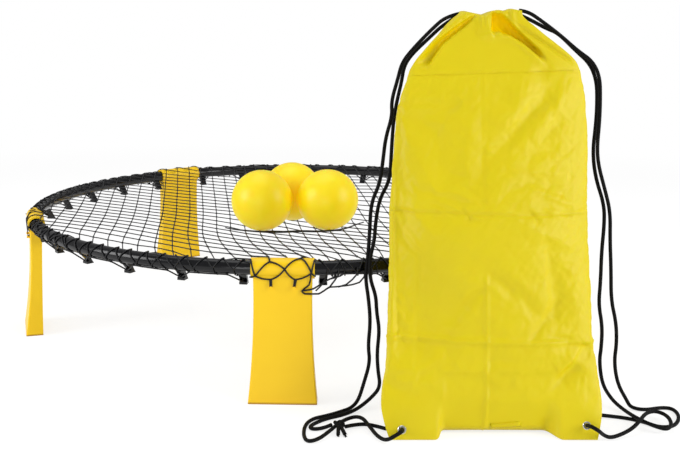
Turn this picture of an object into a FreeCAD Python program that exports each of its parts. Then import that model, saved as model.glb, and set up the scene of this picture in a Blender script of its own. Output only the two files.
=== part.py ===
import FreeCAD, Part
import math
import os
import Sketcher

# A roundnet set: a ring of five tube sections on five fold-in legs, with a net,
# three inflated balls and the drawstring bag that holds the set when it is packed.
# +Z is up and the set stands on z = 0. +Y points from the bag to the ring.
# The origin lies on the floor at the middle of the set's outer size.

os.makedirs("parts", exist_ok=True)
doc = FreeCAD.newDocument("roundnet")
Vector = FreeCAD.Vector
Rotation = FreeCAD.Rotation
Placement = FreeCAD.Placement

# Driving dimensions, in millimetres and degrees
drivingDimensions = {
    "ring_x": 4.0,
    "ring_y": 68.0,
    "ring_radius": 450.0,
    "ring_top": 195.0,
    "tube_outer": 20.0,
    "tube_wall": 2.2,
    "plug_length": 38.0,
    "plug_wall": 2.2,
    "plug_play": 0.08,
    "leg_count": 5.0,
    "front_leg_angle": -2.12,
    "hook_count": 6.0,
    "hook_gap": 6.5,
    "hook_wide": 11.0,
    "hook_thick": 6.0,
    "hook_drop": 15.0,
    "hook_lean": 8.0,
    "sleeve_wall": 2.62,
    "sleeve_wide": 86.0,
    "sleeve_play": 0.35,
    "leg_top_wide": 82.0,
    "leg_waist_wide": 80.0,
    "leg_foot_wide": 95.0,
    "leg_top_thick": 18.0,
    "leg_foot_thick": 27.5,
    "leg_splay": 12.0,
    "leg_wall": 3.0,
    "leg_edge": 2.0,
    "peg_spacing": 31.0,
    "peg_radius": 2.2,
    "peg_reach": 5.0,
    "peg_drop": 24.0,
    "net_thick": 2.0,
    "net_gap": 0.45,
    "net_sag": 23.0,
    "ball_diameter": 100.0,
    "ball_wall": 2.5,
    "valve_radius": 4.0,
    "valve_depth": 6.0,
    "valve_fit": 0.05,
    "bag_foot_reach": 145.0,
    "bag_middle": 246.0,
    "bag_tall": 524.0,
    "bag_wide": 257.0,
    "bag_thick": 90.0,
    "bag_wall": 1.5,
    "soft_gap": 0.3,
    "flap_thick": 3.0,
    "eyelet_bore": 6.2,
    "eyelet_outer": 11.0,
    "eyelet_wall": 0.6,
    "eyelet_rim": 0.8,
    "cord_diameter": 5.0,
    "knot_diameter": 13.0,
}
sheet = doc.addObject("Spreadsheet::Sheet", "dims")
for row, (name, value) in enumerate(drivingDimensions.items(), 1):
    sheet.set("A%d" % row, name)
    sheet.set("B%d" % row, str(value))
    sheet.setAlias("B%d" % row, name)

# Sizes that follow from the driving ones, worked out in the sheet's next column
followingSizes = {
    "tube_radius": "=tube_outer / 2",
    "tube_height": "=ring_top - tube_outer / 2",
    "section_angle": "=360 / leg_count",
    # The first hook stands clear of the leg's sleeve
    "hook_first": "=(sleeve_wide / 2 + hook_gap + hook_wide / 2) / ring_radius * 57.29578",
    "hook_step": "=(360 / leg_count - 2 * hook_first) / (hook_count - 1)",
    "plug_angle": "=plug_length / ring_radius * 57.29578",
    "tube_sagitta": "=ring_radius - sqrt(ring_radius ^ 2 - sleeve_wide ^ 2 / 4)",
    "sleeve_radius": "=ring_radius - tube_sagitta / 2",
    "sleeve_bore": "=tube_outer / 2 + tube_sagitta / 2 + sleeve_play",
    "sleeve_outer": "=2 * (sleeve_bore + sleeve_wall)",
    # The balls lie on the net's level middle, which reaches past them
    "ball_low": "=ring_top - net_sag",
    "net_low_radius": "=ball_diameter * 1.65",
    "net_inner": "=tube_outer / 2 + net_gap",
    "net_outer": "=tube_outer / 2 + net_gap + net_thick",
    "net_low": "=ball_low - net_gap - net_thick",
    # The bag leans back until its left side lies on the net's rolled edge
    "bag_front": "=-ring_radius - bag_foot_reach",
    "bag_touch_across": "=bag_middle - bag_wide / 2 + bag_thick / 2",
    "bag_touch_reach": "=ring_radius + net_outer * 1.07 + soft_gap + bag_thick / 2",
    "bag_touch_along": "=-sqrt(bag_touch_reach ^ 2 - bag_touch_across ^ 2)",
    "bag_lean": "=atan((bag_touch_along - bag_front - bag_thick / 2) / tube_height)",
}
for row, (name, rule) in enumerate(followingSizes.items(), 1):
    sheet.set("D%d" % row, name)
    sheet.setAlias("E%d" % row, name)
for row, (name, rule) in enumerate(followingSizes.items(), 1):
    sheet.set("E%d" % row, rule)
doc.recompute()


def size(name):
    """The value that the sheet holds for a name."""
    value = sheet.get(name)
    return float(getattr(value, "Value", value))


def cell(rule):
    """A sheet rule written with bare names, such as <ring_top> / 2, made ready for an expression."""
    return rule.replace("<", "dims.").replace(">", "")


def legAngle(index):
    """The turn about +Z, in degrees, of the leg with this index: 0 points along +X."""
    return size("front_leg_angle") - 90.0 + index * size("section_angle")


def ringPlacement(angle):
    """The place of a piece drawn about the ring's axis with +X outwards."""
    return Placement(Vector(size("ring_x"), size("ring_y"), 0), Rotation(Vector(0, 0, 1), angle))


def newBody(label):
    body = doc.addObject("PartDesign::Body", label)
    body.Label = label
    return body


def originPlane(body, role):
    for feature in body.Origin.OriginFeatures:
        if feature.Role == role:
            return feature
    raise RuntimeError("no plane " + role)


def newSketch(body, name, role):
    sketch = body.newObject("Sketcher::SketchObject", name)
    sketch.AttachmentSupport = [(originPlane(body, role), "")]
    sketch.MapMode = "FlatFace"
    return sketch


def addCircle(sketch, acrossRule, upRule, radiusRule, guess):
    """A circle whose centre and radius are tied to the sheet; guess is its rough centre and radius."""
    across, up, radius = guess
    curve = sketch.addGeometry(Part.Circle(Vector(across, up, 0), Vector(0, 0, 1), radius), False)
    tie(sketch, (curve, 3), acrossRule, upRule, across, up)
    index = sketch.addConstraint(Sketcher.Constraint("Radius", curve, radius))
    sketch.setExpression("Constraints[%d]" % index, cell(radiusRule))
    return curve


def addOutline(sketch, corners):
    """A closed outline. Each corner is (rule, rule, guess, guess), and a corner with four more
    entries is followed by an arc through the point that they give instead of a straight line."""
    count = len(corners)
    first = sketch.GeometryCount
    ends = []
    for i in range(count):
        here, after = corners[i], corners[(i + 1) % count]
        start, stop = Vector(here[2], here[3], 0), Vector(after[2], after[3], 0)
        if len(here) == 4:
            sketch.addGeometry(Part.LineSegment(start, stop), False)
            ends.append((1, 2))
        else:
            via = Vector(here[6], here[7], 0)
            sketch.addGeometry(Part.Arc(start, via, stop), False)
            # A sketch keeps every arc counter-clockwise, so a clockwise one has its ends swapped
            ends.append((1, 2) if (via - start).cross(stop - via).z > 0 else (2, 1))
    for i in range(count):
        after = (i + 1) % count
        join = (first + i, ends[i][1], first + after, ends[after][0])
        sketch.addConstraint(Sketcher.Constraint("Coincident", *join))
    for i, corner in enumerate(corners):
        tie(sketch, (first + i, ends[i][0]), corner[0], corner[1], corner[2], corner[3])
        if len(corner) > 4:
            point = sketch.addGeometry(Part.Point(Vector(corner[6], corner[7], 0)), True)
            tie(sketch, (point, 1), corner[4], corner[5], corner[6], corner[7])
            sketch.addConstraint(Sketcher.Constraint("PointOnObject", point, 1, first + i))


def tie(sketch, place, acrossRule, upRule, across, up):
    """Ties one point of a sketch to two rules of the sheet."""
    for kind, rule, value in (("DistanceX", acrossRule, across), ("DistanceY", upRule, up)):
        index = sketch.addConstraint(Sketcher.Constraint(kind, -1, 1, place[0], place[1], value))
        sketch.setExpression("Constraints[%d]" % index, cell(rule))


def revolve(body, name, sketch, rule, reverse=False):
    feature = body.newObject("PartDesign::Revolution", name)
    feature.Profile = sketch
    feature.ReferenceAxis = (sketch, ["V_Axis"])
    feature.Reversed = reverse
    feature.Angle = 10.0
    feature.setExpression("Angle", cell(rule))
    sketch.Visibility = False
    return feature


def pad(body, name, sketch, rule, both=True, reverse=False, pocket=False):
    feature = body.newObject("PartDesign::Pocket" if pocket else "PartDesign::Pad", name)
    feature.Profile = sketch
    feature.Midplane = both
    feature.Reversed = reverse
    feature.Length = 10.0
    feature.setExpression("Length", cell(rule))
    sketch.Visibility = False
    return feature


def repeatRound(body, name, feature, countRule, angleRule):
    """Repeats a feature about the body's own Z axis."""
    pattern = body.newObject("PartDesign::PolarPattern", name)
    pattern.Originals = [feature]
    pattern.Axis = (feature.Profile[0], ["V_Axis"])
    pattern.setExpression("Occurrences", cell(countRule))
    pattern.setExpression("Angle", cell(angleRule))
    body.Tip = pattern
    return pattern


def makeRingSection(number):
    """One fifth of the ring: a tube with a necked plug at one end and its row of net hooks."""
    body = newBody("ring_section_%d" % number)
    radius, height, outer = size("ring_radius"), size("tube_height"), size("tube_radius")
    wall = newSketch(body, "tube_wall_%d" % number, "XZ_Plane")
    addCircle(wall, "<ring_radius>", "<tube_height>", "<tube_radius>", (radius, height, outer))
    addCircle(wall, "<ring_radius>", "<tube_height>", "<tube_radius> - <tube_wall>", (radius, height, outer - 2))
    revolve(body, "tube_%d" % number, wall, "<section_angle>")
    # The neck closes the step between the tube's wall and the narrower plug
    neck = newSketch(body, "neck_ring_%d" % number, "XZ_Plane")
    bore = "<tube_radius> - <tube_wall> - <plug_play> - <plug_wall>"
    addCircle(neck, "<ring_radius>", "<tube_height>", "<tube_radius>", (radius, height, outer))
    addCircle(neck, "<ring_radius>", "<tube_height>", bore, (radius, height, outer - 4.5))
    revolve(body, "neck_%d" % number, neck, "0.4")
    plug = newSketch(body, "plug_ring_%d" % number, "XZ_Plane")
    outside = "<tube_radius> - <tube_wall> - <plug_play>"
    addCircle(plug, "<ring_radius>", "<tube_height>", outside, (radius, height, outer - 2.3))
    addCircle(plug, "<ring_radius>", "<tube_height>", bore, (radius, height, outer - 4.5))
    revolve(body, "plug_%d" % number, plug, "<plug_angle>", reverse=True)
    # A hook slants down and inwards from the tube's underside and ends in a small lip
    side = newSketch(body, "hook_side_%d" % number, "XZ_Plane")
    turn = Rotation(Vector(0, 1, 0), size("hook_first"))
    side.AttachmentOffset = Placement(Vector(0, 0, 0), turn)
    under = "<tube_height> - <tube_radius>"
    foot = under + " - <hook_drop>"
    low = height - outer - size("hook_drop")
    addOutline(side, [
        ("<ring_radius> - 5", under + " + 2.2", radius - 5, height - outer + 2.2),
        ("<ring_radius> - 5 - <hook_lean>", foot + " + 3", radius - 13, low + 3),
        ("<ring_radius> - 7 - <hook_lean>", foot, radius - 15, low),
        ("<ring_radius> - 1 - <hook_lean> + <hook_thick>", foot, radius - 4, low),
        ("<ring_radius> - 1 - <hook_lean> + <hook_thick>", foot + " + 3.5", radius - 4, low + 3.5),
        ("<ring_radius> - 5 - <hook_lean> + <hook_thick>", foot + " + 4.5", radius - 7, low + 4.5),
        ("<ring_radius> - 3 + <hook_thick>", under + " + 1.2", radius + 3, height - outer + 1.2),
    ])
    hook = pad(body, "hook_%d" % number, side, "<hook_wide>")
    repeatRound(body, "hooks_%d" % number, hook, "<hook_count>", "<hook_step> * (<hook_count> - 1)")
    body.Placement = ringPlacement(legAngle(number - 1))
    return body


def makeLeg(number):
    """A moulded leg: a sleeve that turns on the ring's tube, with a flared hollow panel below it."""
    body = newBody("leg_%d" % number)
    axis, height = size("sleeve_radius"), size("tube_height")
    splay = size("leg_splay")
    side = newSketch(body, "leg_side_%d" % number, "XZ_Plane")
    # Seen from the side, the panel thickens and leans outwards towards the floor
    topIn, topOut = "<sleeve_radius> - <leg_top_thick> / 2", "<sleeve_radius> + <leg_top_thick> / 2 + 2"
    footIn = "<sleeve_radius> + <leg_splay> - <leg_foot_thick> / 2"
    footOut = "<sleeve_radius> + <leg_splay> + <leg_foot_thick> / 2"
    addOutline(side, [
        (topIn, "<tube_height>", axis - 9, height),
        (topOut, "<tube_height>", axis + 11, height,
         topOut + " + <leg_splay> * 0.25", "<tube_height> * 0.5", axis + 14, height * 0.5),
        (footOut, "0", axis + splay + 14, 0),
        (footIn, "0", axis + splay - 14, 0,
         topIn + " + <leg_splay> * 0.35", "<tube_height> * 0.5", axis - 5, height * 0.5),
    ])
    panel = pad(body, "panel_%d" % number, side, "<leg_foot_wide>")
    # The panel's two long edges are cut to a waist below the sleeve and a flare at the foot
    for turned, mark in ((1, "left"), (-1, "right")):
        cut = newSketch(body, "waist_%s_%d" % (mark, number), "YZ_Plane")
        sign = "" if turned > 0 else "-"
        top, foot = size("leg_top_wide") / 2, size("leg_foot_wide") / 2
        addOutline(cut, [
            (sign + "(<leg_top_wide> / 2)", "<tube_height> + 20", turned * top, height + 20,
             sign + "(<leg_waist_wide> / 2)", "<tube_height> * 0.62", turned * top, height * 0.62),
            (sign + "(<leg_foot_wide> / 2)", "-1", turned * foot, -1),
            (sign + "(<leg_foot_wide> / 2 + 20)", "-1", turned * (foot + 20), -1),
            (sign + "(<leg_foot_wide> / 2 + 20)", "<tube_height> + 20", turned * (foot + 20), height + 20),
        ])
        pad(body, "flare_%s_%d" % (mark, number), cut, "4 * <ring_radius>", pocket=True)
    doc.recompute()
    soften(body, "panel_edges_%d" % number, panelEdges(body.Tip.Shape), "<leg_edge>")
    # Two pockets from the floor side leave the wall and one rib between them
    hollow = newSketch(body, "hollow_side_%d" % number, "XZ_Plane")
    addOutline(hollow, [
        (topIn + " + <leg_wall>", "<tube_height> - 20", axis - 6, height - 20),
        (topOut + " - <leg_wall>", "<tube_height> - 20", axis + 8, height - 20,
         topOut + " + <leg_splay> * 0.25 - <leg_wall>", "<tube_height> * 0.5", axis + 11, height * 0.5),
        (footOut + " - <leg_wall>", "-1", axis + splay + 11, -1),
        (footIn + " + <leg_wall>", "-1", axis + splay - 11, -1,
         topIn + " + <leg_splay> * 0.35 + <leg_wall>", "<tube_height> * 0.5", axis - 2, height * 0.5),
    ])
    pad(body, "hollow_%d" % number, hollow, "<leg_waist_wide> - 2 * <leg_wall>", pocket=True)
    rib = newSketch(body, "rib_side_%d" % number, "XZ_Plane")
    addOutline(rib, [
        (topIn + " + <leg_wall> / 2", "<tube_height> - 18", axis - 7, height - 18),
        (topOut + " - <leg_wall> / 2", "<tube_height> - 18", axis + 9, height - 18,
         topOut + " + <leg_splay> * 0.25 - <leg_wall> / 2", "<tube_height> * 0.5", axis + 12, height * 0.5),
        (footOut + " - <leg_wall>", "4", axis + splay + 11, 4),
        (footIn + " + <leg_wall>", "4", axis + splay - 11, 4,
         topIn + " + <leg_splay> * 0.35 + <leg_wall> / 2", "<tube_height> * 0.5", axis - 3, height * 0.5),
    ])
    pad(body, "rib_%d" % number, rib, "<leg_wall>")
    ring = newSketch(body, "sleeve_ring_%d" % number, "XZ_Plane")
    outside = size("sleeve_outer") / 2
    addCircle(ring, "<sleeve_radius>", "<tube_height>", "<sleeve_outer> / 2", (axis, height, outside))
    pad(body, "sleeve_%d" % number, ring, "<sleeve_wide>")
    bore = newSketch(body, "bore_ring_%d" % number, "XZ_Plane")
    addCircle(bore, "<sleeve_radius>", "<tube_height>", "<sleeve_bore>", (axis, height, size("sleeve_bore")))
    pad(body, "bore_%d" % number, bore, "<leg_foot_wide> + 20", pocket=True)
    # Two short pegs on the outer face take the net's loops where the sleeve hides the ring
    for turned, mark in ((1, "left"), (-1, "right")):
        peg = newSketch(body, "peg_round_%s_%d" % (mark, number), "YZ_Plane")
        sign = "" if turned > 0 else "-"
        addCircle(peg, sign + "(<peg_spacing> / 2)", "<tube_height> - <peg_drop>", "<peg_radius>",
                  (turned * size("peg_spacing") / 2, height - size("peg_drop"), size("peg_radius")))
        peg.AttachmentOffset = Placement(Vector(0, 0, axis), Rotation())
        pad(body, "peg_%s_%d" % (mark, number), peg, "<leg_top_thick> / 2 + 2 + <peg_reach>", both=False)
    body.Placement = ringPlacement(legAngle(number - 1))
    return body


def panelEdges(shape):
    """The long edges of a leg's panel on its outer face."""
    names = []
    half = size("leg_waist_wide") / 2 - 1
    for i, edge in enumerate(shape.Edges, 1):
        ends = [v.Point for v in edge.Vertexes]
        if len(ends) != 2:
            continue
        low, high = sorted(ends, key=lambda p: p.z)
        outside = min(p.x for p in ends) > size("sleeve_radius") + 1
        if outside and abs(low.y) > half and abs(high.y) > half and low.y * high.y > 0:
            names.append("Edge%d" % i)
    return names


def soften(body, name, edges, rule):
    feature = body.newObject("PartDesign::Fillet", name)
    feature.Base = (body.Tip if body.Tip != feature else feature.BaseFeature, edges)
    feature.Radius = 1.0
    feature.setExpression("Radius", cell(rule))
    body.Tip = feature
    return feature


def tangentPoint(centre, radius, point):
    """Where a line from a point touches the upper inner side of a circle."""
    dx, dz = point[0] - centre[0], point[1] - centre[1]
    away = math.hypot(dx, dz)
    angle = math.atan2(dz, dx) - math.acos(radius / away)
    return centre[0] + radius * math.cos(angle), centre[1] + radius * math.sin(angle), angle


def makeNet():
    """The net's dish: a level middle, a straight slope and an edge that rolls over the tube."""
    body = newBody("net")
    radius, height = size("ring_radius"), size("tube_height")
    low, flat = size("net_low"), size("net_low_radius")
    inner, outer, thick = size("net_inner"), size("net_outer"), size("net_thick")
    section = newSketch(body, "net_section", "XZ_Plane")
    under = tangentPoint((radius, height), inner, (flat, low))
    over = tangentPoint((radius, height), outer, (flat, low + thick))
    lines = [
        ((0, low), (flat, low)),
        ((flat, low), under[:2]),
        (over[:2], (flat, low + thick)),
        ((flat, low + thick), (0, low + thick)),
        ((0, low + thick), (0, low)),
        ((radius + inner, height), (radius + outer, height)),
    ]
    for start, end in lines:
        section.addGeometry(Part.LineSegment(Vector(*start, 0), Vector(*end, 0)), False)
    for reach, angle in ((inner, under[2]), (outer, over[2])):
        circle = Part.Circle(Vector(radius, height, 0), Vector(0, 0, 1), reach)
        section.addGeometry(Part.ArcOfCircle(circle, 0, angle), False)
    fixed = Sketcher.Constraint
    joins = [("Coincident", 0, 2, 1, 1), ("Tangent", 1, 2, 6, 2), ("Tangent", 2, 1, 7, 2),
             ("Coincident", 2, 2, 3, 1), ("Coincident", 3, 2, 4, 1), ("Coincident", 4, 2, 0, 1),
             ("Coincident", 5, 1, 6, 1), ("Coincident", 5, 2, 7, 1), ("Coincident", 6, 3, 7, 3),
             ("Horizontal", 0), ("Horizontal", 3), ("Horizontal", 5),
             ("PointOnObject", 0, 1, -2), ("PointOnObject", 3, 2, -2)]
    for join in joins:
        section.addConstraint(fixed(*join))
    ties = [("DistanceX", (-1, 1, 0, 2), flat, "<net_low_radius>"),
            ("DistanceY", (-1, 1, 0, 2), low, "<net_low>"),
            ("DistanceX", (-1, 1, 2, 2), flat, "<net_low_radius>"),
            ("DistanceY", (-1, 1, 2, 2), low + thick, "<net_low> + <net_thick>"),
            ("DistanceX", (-1, 1, 6, 3), radius, "<ring_radius>"),
            ("DistanceY", (-1, 1, 6, 3), height, "<tube_height>"),
            ("Radius", (6,), inner, "<net_inner>"), ("Radius", (7,), outer, "<net_outer>"),
            ("DistanceY", (-1, 1, 5, 1), height, "<tube_height>")]
    for kind, places, value, rule in ties:
        index = section.addConstraint(fixed(kind, *places, value))
        section.setExpression("Constraints[%d]" % index, cell(rule))
    revolve(body, "dish", section, "360")
    # The dish is notched where each leg's sleeve stands higher than the tube
    notch = newSketch(body, "sleeve_notch", "XY_Plane")
    half = size("sleeve_wide") / 2 + 1.5
    inside, beyond = size("sleeve_radius") - size("sleeve_outer") / 2 - 1.5, radius + 40
    reach = "<sleeve_radius> - <sleeve_outer> / 2 - 1.5"
    across = "(<sleeve_wide> / 2 + 1.5)"
    addOutline(notch, [
        (reach, "-" + across, inside, -half), ("<ring_radius> + 40", "-" + across, beyond, -half),
        ("<ring_radius> + 40", across, beyond, half), (reach, across, inside, half),
    ])
    cut = pad(body, "notch", notch, "4 * <ring_top>", pocket=True)
    pattern = body.newObject("PartDesign::PolarPattern", "notches")
    pattern.Originals = [cut]
    pattern.Axis = (notch, ["N_Axis"])
    pattern.setExpression("Occurrences", cell("<leg_count>"))
    pattern.Angle = 360.0
    body.Tip = pattern
    body.Placement = ringPlacement(legAngle(0))
    return body


# The balls' centres, measured from the ring's axis along X and Y in ball diameters, and their spin
ballPlaces = [(-0.545, -1.415, 35.0), (0.533, -1.355, 160.0), (-0.056, -0.535, 80.0)]


def makeBall(number):
    """A hollow ball and, in a hole of its wall, the valve's plug."""
    across, along, spin = ballPlaces[number - 1]
    solids = []
    for kind, rule in (("skin", "<ball_diameter> / 2"), ("inside", "<ball_diameter> / 2 - <ball_wall>")):
        for copy in ("ball", "valve"):
            ball = doc.addObject("Part::Sphere", "%s_%s_%d" % (copy, kind, number))
            ball.setExpression("Radius", cell(rule))
            solids.append(ball)
    skinBall, skinValve, insideBall, insideValve = solids
    # The valve's hole runs along the ball's own Z axis, through the upper wall
    rods = []
    for copy, rule in (("hole", "<valve_radius> + <valve_fit>"), ("plug", "<valve_radius>")):
        rod = doc.addObject("Part::Cylinder", "%s_rod_%d" % (copy, number))
        rod.setExpression("Radius", cell(rule))
        rod.setExpression("Height", cell("<valve_depth> + 5"))
        rod.setExpression("Placement.Base.z", cell("<ball_diameter> / 2 - <valve_depth>"))
        rods.append(rod)
    shell = doc.addObject("Part::Cut", "ball_shell_%d" % number)
    shell.Base, shell.Tool = skinBall, insideBall
    ball = doc.addObject("Part::Cut", "ball_%d" % number)
    ball.Label = "ball_%d" % number
    ball.Base, ball.Tool = shell, rods[0]
    valve = doc.addObject("Part::Common", "ball_valve_%d" % number)
    valve.Label = "ball_valve_%d" % number
    valve.Base, valve.Tool = skinValve, rods[1]
    doc.removeObject(insideValve.Name)
    lift = size("ball_low") + size("ball_diameter") / 2
    across, along = across * size("ball_diameter"), along * size("ball_diameter")
    centre = Vector(size("ring_x") + across, size("ring_y") + along, lift)
    # The valves look down and away from the bag
    turn = Rotation(Vector(0, 0, 1), spin).multiply(Rotation(Vector(0, 1, 0), 118))
    for piece in (ball, valve):
        piece.Placement = Placement(centre, turn)
    return [ball, valve]


# The bag's level slices: height as a share of the bag's, left and right end as shares of its
# width, thickness as a share of its own, and how far the front stands back from the leaning
# front plane in millimetres. The slice that lies on the ring is at the tube's height.
bagSlices = [
    (0.0, -0.455, 0.455, 0.33, 22.0),
    (0.04, -0.505, 0.505, 0.50, 11.0),
    (0.09, -0.533, 0.533, 0.70, 1.0),
    (0.2, -0.510, 0.510, 0.90, 0.0),
    (size("tube_height") / size("bag_tall"), -0.5, 0.5, 1.0, 0.0),
    (0.55, -0.486, 0.494, 0.88, 0.0),
    (0.72, -0.467, 0.490, 0.73, 0.0),
    (0.82, -0.412, 0.490, 0.62, 1.0),
    (0.88, -0.335, 0.444, 0.53, 2.0),
    (0.94, -0.218, 0.319, 0.42, 5.0),
    (1.0, -0.113, 0.195, 0.31, 8.0),
]


def addSlot(sketch, left, right, front, thick, inset):
    """A rectangle with half-round ends, tied to the bag's width, thickness and wall."""
    wide, deep = size("bag_wide"), size("bag_thick") * thick
    radius = deep / 2 - inset
    middle = front + deep / 2
    ends = [left * wide + deep / 2, right * wide - deep / 2]
    start = sketch.GeometryCount
    for tips, side in ((ends, middle - radius), (ends[::-1], middle + radius)):
        line = Part.LineSegment(Vector(tips[0], side, 0), Vector(tips[1], side, 0))
        sketch.addGeometry(line, False)
    for end, turns in ((ends[1], (-0.5, 0.5)), (ends[0], (0.5, 1.5))):
        circle = Part.Circle(Vector(end, middle, 0), Vector(0, 0, 1), radius)
        sketch.addGeometry(Part.ArcOfCircle(circle, turns[0] * math.pi, turns[1] * math.pi), False)
    for join in (("Tangent", start, 2, start + 2, 1), ("Tangent", start + 2, 2, start + 1, 1),
                 ("Tangent", start + 1, 2, start + 3, 1), ("Tangent", start + 3, 2, start, 1),
                 ("Horizontal", start)):
        sketch.addConstraint(Sketcher.Constraint(*join))
    half = "<bag_thick> * %s" % (thick / 2)
    ties = [("Radius", (start + 2,), radius, half + (" - <bag_wall>" if inset else "")),
            ("DistanceX", (-1, 1, start + 2, 3), ends[1], "<bag_wide> * %s - %s" % (right, half)),
            ("DistanceX", (-1, 1, start + 3, 3), ends[0], "<bag_wide> * %s + %s" % (left, half)),
            ("DistanceY", (-1, 1, start + 2, 3), middle, "%s + %s" % (front, half))]
    for kind, places, value, rule in ties:
        index = sketch.addConstraint(Sketcher.Constraint(kind, *places, value))
        sketch.setExpression("Constraints[%d]" % index, cell(rule))


def frontSetback(share):
    """How far the leaning front plane has gone back at a share of the bag's height."""
    return share * size("bag_tall") * math.tan(math.radians(size("bag_lean")))


def bagLoft(body, mark, inset):
    """The slices of the bag's skin, or with an inset those of its hollow."""
    slices = bagSlices
    sketches = []
    last = len(slices) - 1
    for i, (share, left, right, thick, back) in enumerate(slices):
        sketch = newSketch(body, "%s_slice_%d" % (mark, i + 1), "XY_Plane")
        rise = size("bag_wall") if inset else 0.0
        lift = rise if i == 0 else -rise if i == last else 0.0
        addSlot(sketch, left, right, frontSetback(share) + back, thick, inset)
        sketch.AttachmentOffset = Placement(Vector(0, 0, share * size("bag_tall") + lift), Rotation())
        step = " + <bag_wall>" if lift > 0 else " - <bag_wall>" if lift < 0 else ""
        sketch.setExpression("AttachmentOffset.Base.z", cell("%s * <bag_tall>%s" % (share, step)))
        sketch.Visibility = False
        sketches.append(sketch)
    loft = body.newObject("PartDesign::SubtractiveLoft" if inset else "PartDesign::AdditiveLoft", mark)
    loft.Profile = sketches[0]
    loft.Sections = sketches[1:]
    loft.Ruled = False
    return loft


# Eyelets: place across from the bag's middle, height above the floor and the flap's outline
eyeletPlaces = {"left": (-113.0, 13.0), "right": (117.5, 18.0)}


def makeBag():
    """The bag, drawn shut at the mouth and leaning on the ring, with a flat flap at each lower corner."""
    body = newBody("bag")
    bagLoft(body, "skin", 0.0)
    lean = math.cos(math.radians(size("bag_lean")))
    for mark, side in (("left", -1), ("right", 1)):
        flap = newSketch(body, "flap_outline_" + mark, "XZ_Plane")
        # The flap leans, so its lower edge is lifted until its back corner rests on the floor
        lift = size("flap_thick") * math.tan(math.radians(size("bag_lean")))
        corners = [(78, 2), (80, 0), (127, 0), (131, 3), (135, 24), (131, 60), (100, 66), (76, 52), (79, 20)]
        addOutline(flap, [("%s * <bag_wide> / 257" % (side * x), "%s + <flap_thick> * tan(<bag_lean>)" % z,
                           side * x, z + lift) for x, z in corners])
        flap.AttachmentOffset = Placement(Vector(0, 0, 0), Rotation(Vector(1, 0, 0), -size("bag_lean")))
        pad(body, "flap_" + mark, flap, "<flap_thick>", both=False, reverse=True)
        hole = newSketch(body, "eyelet_hole_" + mark, "XZ_Plane")
        across, up = eyeletPlaces[mark]
        addCircle(hole, "%s" % across, "%s" % (up / lean), "<eyelet_bore> / 2 + <eyelet_wall> + 0.05",
                  (across, up / lean, size("eyelet_bore") / 2 + size("eyelet_wall") + 0.05))
        hole.AttachmentOffset = Placement(Vector(0, 0, 0), Rotation(Vector(1, 0, 0), -size("bag_lean")))
        pad(body, "eyelet_cut_" + mark, hole, "12", pocket=True)
    doc.recompute()
    bagLoft(body, "hollow", size("bag_wall"))
    body.Placement = Placement(Vector(bagPlace[0], bagPlace[1], 0), Rotation())
    return body


bagPlace = (size("ring_x") + size("bag_middle"), size("ring_y") + size("bag_front"))


def eyeletPlacement(mark):
    """On the flap's front face, with local +Z pointing out of it."""
    across, up = eyeletPlaces[mark]
    lean = math.radians(size("bag_lean"))
    turn = Rotation(Vector(1, 0, 0), 90 - size("bag_lean"))
    return Placement(Vector(bagPlace[0] + across, bagPlace[1] + up * math.tan(lean), up), turn)


def makeEyelet(mark):
    """A pressed eyelet: a collar on the front with a barrel through the flap."""
    body = newBody("eyelet_" + mark)
    profile = newSketch(body, "eyelet_profile_" + mark, "XZ_Plane")
    bore, outer = size("eyelet_bore") / 2, size("eyelet_outer") / 2
    wall, rim, flap = size("eyelet_wall"), size("eyelet_rim"), size("flap_thick")
    back = "-<flap_thick> - <eyelet_rim>"
    addOutline(profile, [
        ("<eyelet_bore> / 2", "<eyelet_rim>", bore, rim),
        ("<eyelet_outer> / 2 - 0.8", "<eyelet_rim>", outer - 0.8, rim),
        ("<eyelet_outer> / 2", "0.02", outer, 0.02),
        ("<eyelet_bore> / 2 + <eyelet_wall>", "0.02", bore + wall, 0.02),
        ("<eyelet_bore> / 2 + <eyelet_wall>", back, bore + wall, -flap - rim),
        ("<eyelet_bore> / 2", back, bore, -flap - rim),
    ])
    revolve(body, "eyelet_turn_" + mark, profile, "360")
    body.Placement = eyeletPlacement(mark)
    return body


def makeWasher(mark):
    """The eyelet's washer, behind the flap and around the barrel."""
    body = newBody("washer_" + mark)
    profile = newSketch(body, "washer_profile_" + mark, "XZ_Plane")
    bore, outer = size("eyelet_bore") / 2 + size("eyelet_wall"), size("eyelet_outer") / 2
    flap, rim = size("flap_thick"), size("eyelet_rim")
    addOutline(profile, [
        ("<eyelet_bore> / 2 + <eyelet_wall> + 0.02", "-<flap_thick> - 0.02", bore + 0.02, -flap - 0.02),
        ("<eyelet_outer> / 2", "-<flap_thick> - 0.02", outer, -flap - 0.02),
        ("<eyelet_outer> / 2 - 0.5", "-<flap_thick> - <eyelet_rim>", outer - 0.5, -flap - rim),
        ("<eyelet_bore> / 2 + <eyelet_wall> + 0.02", "-<flap_thick> - <eyelet_rim>", bore + 0.02, -flap - rim),
    ])
    revolve(body, "washer_turn_" + mark, profile, "360")
    body.Placement = eyeletPlacement(mark)
    return body


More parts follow.
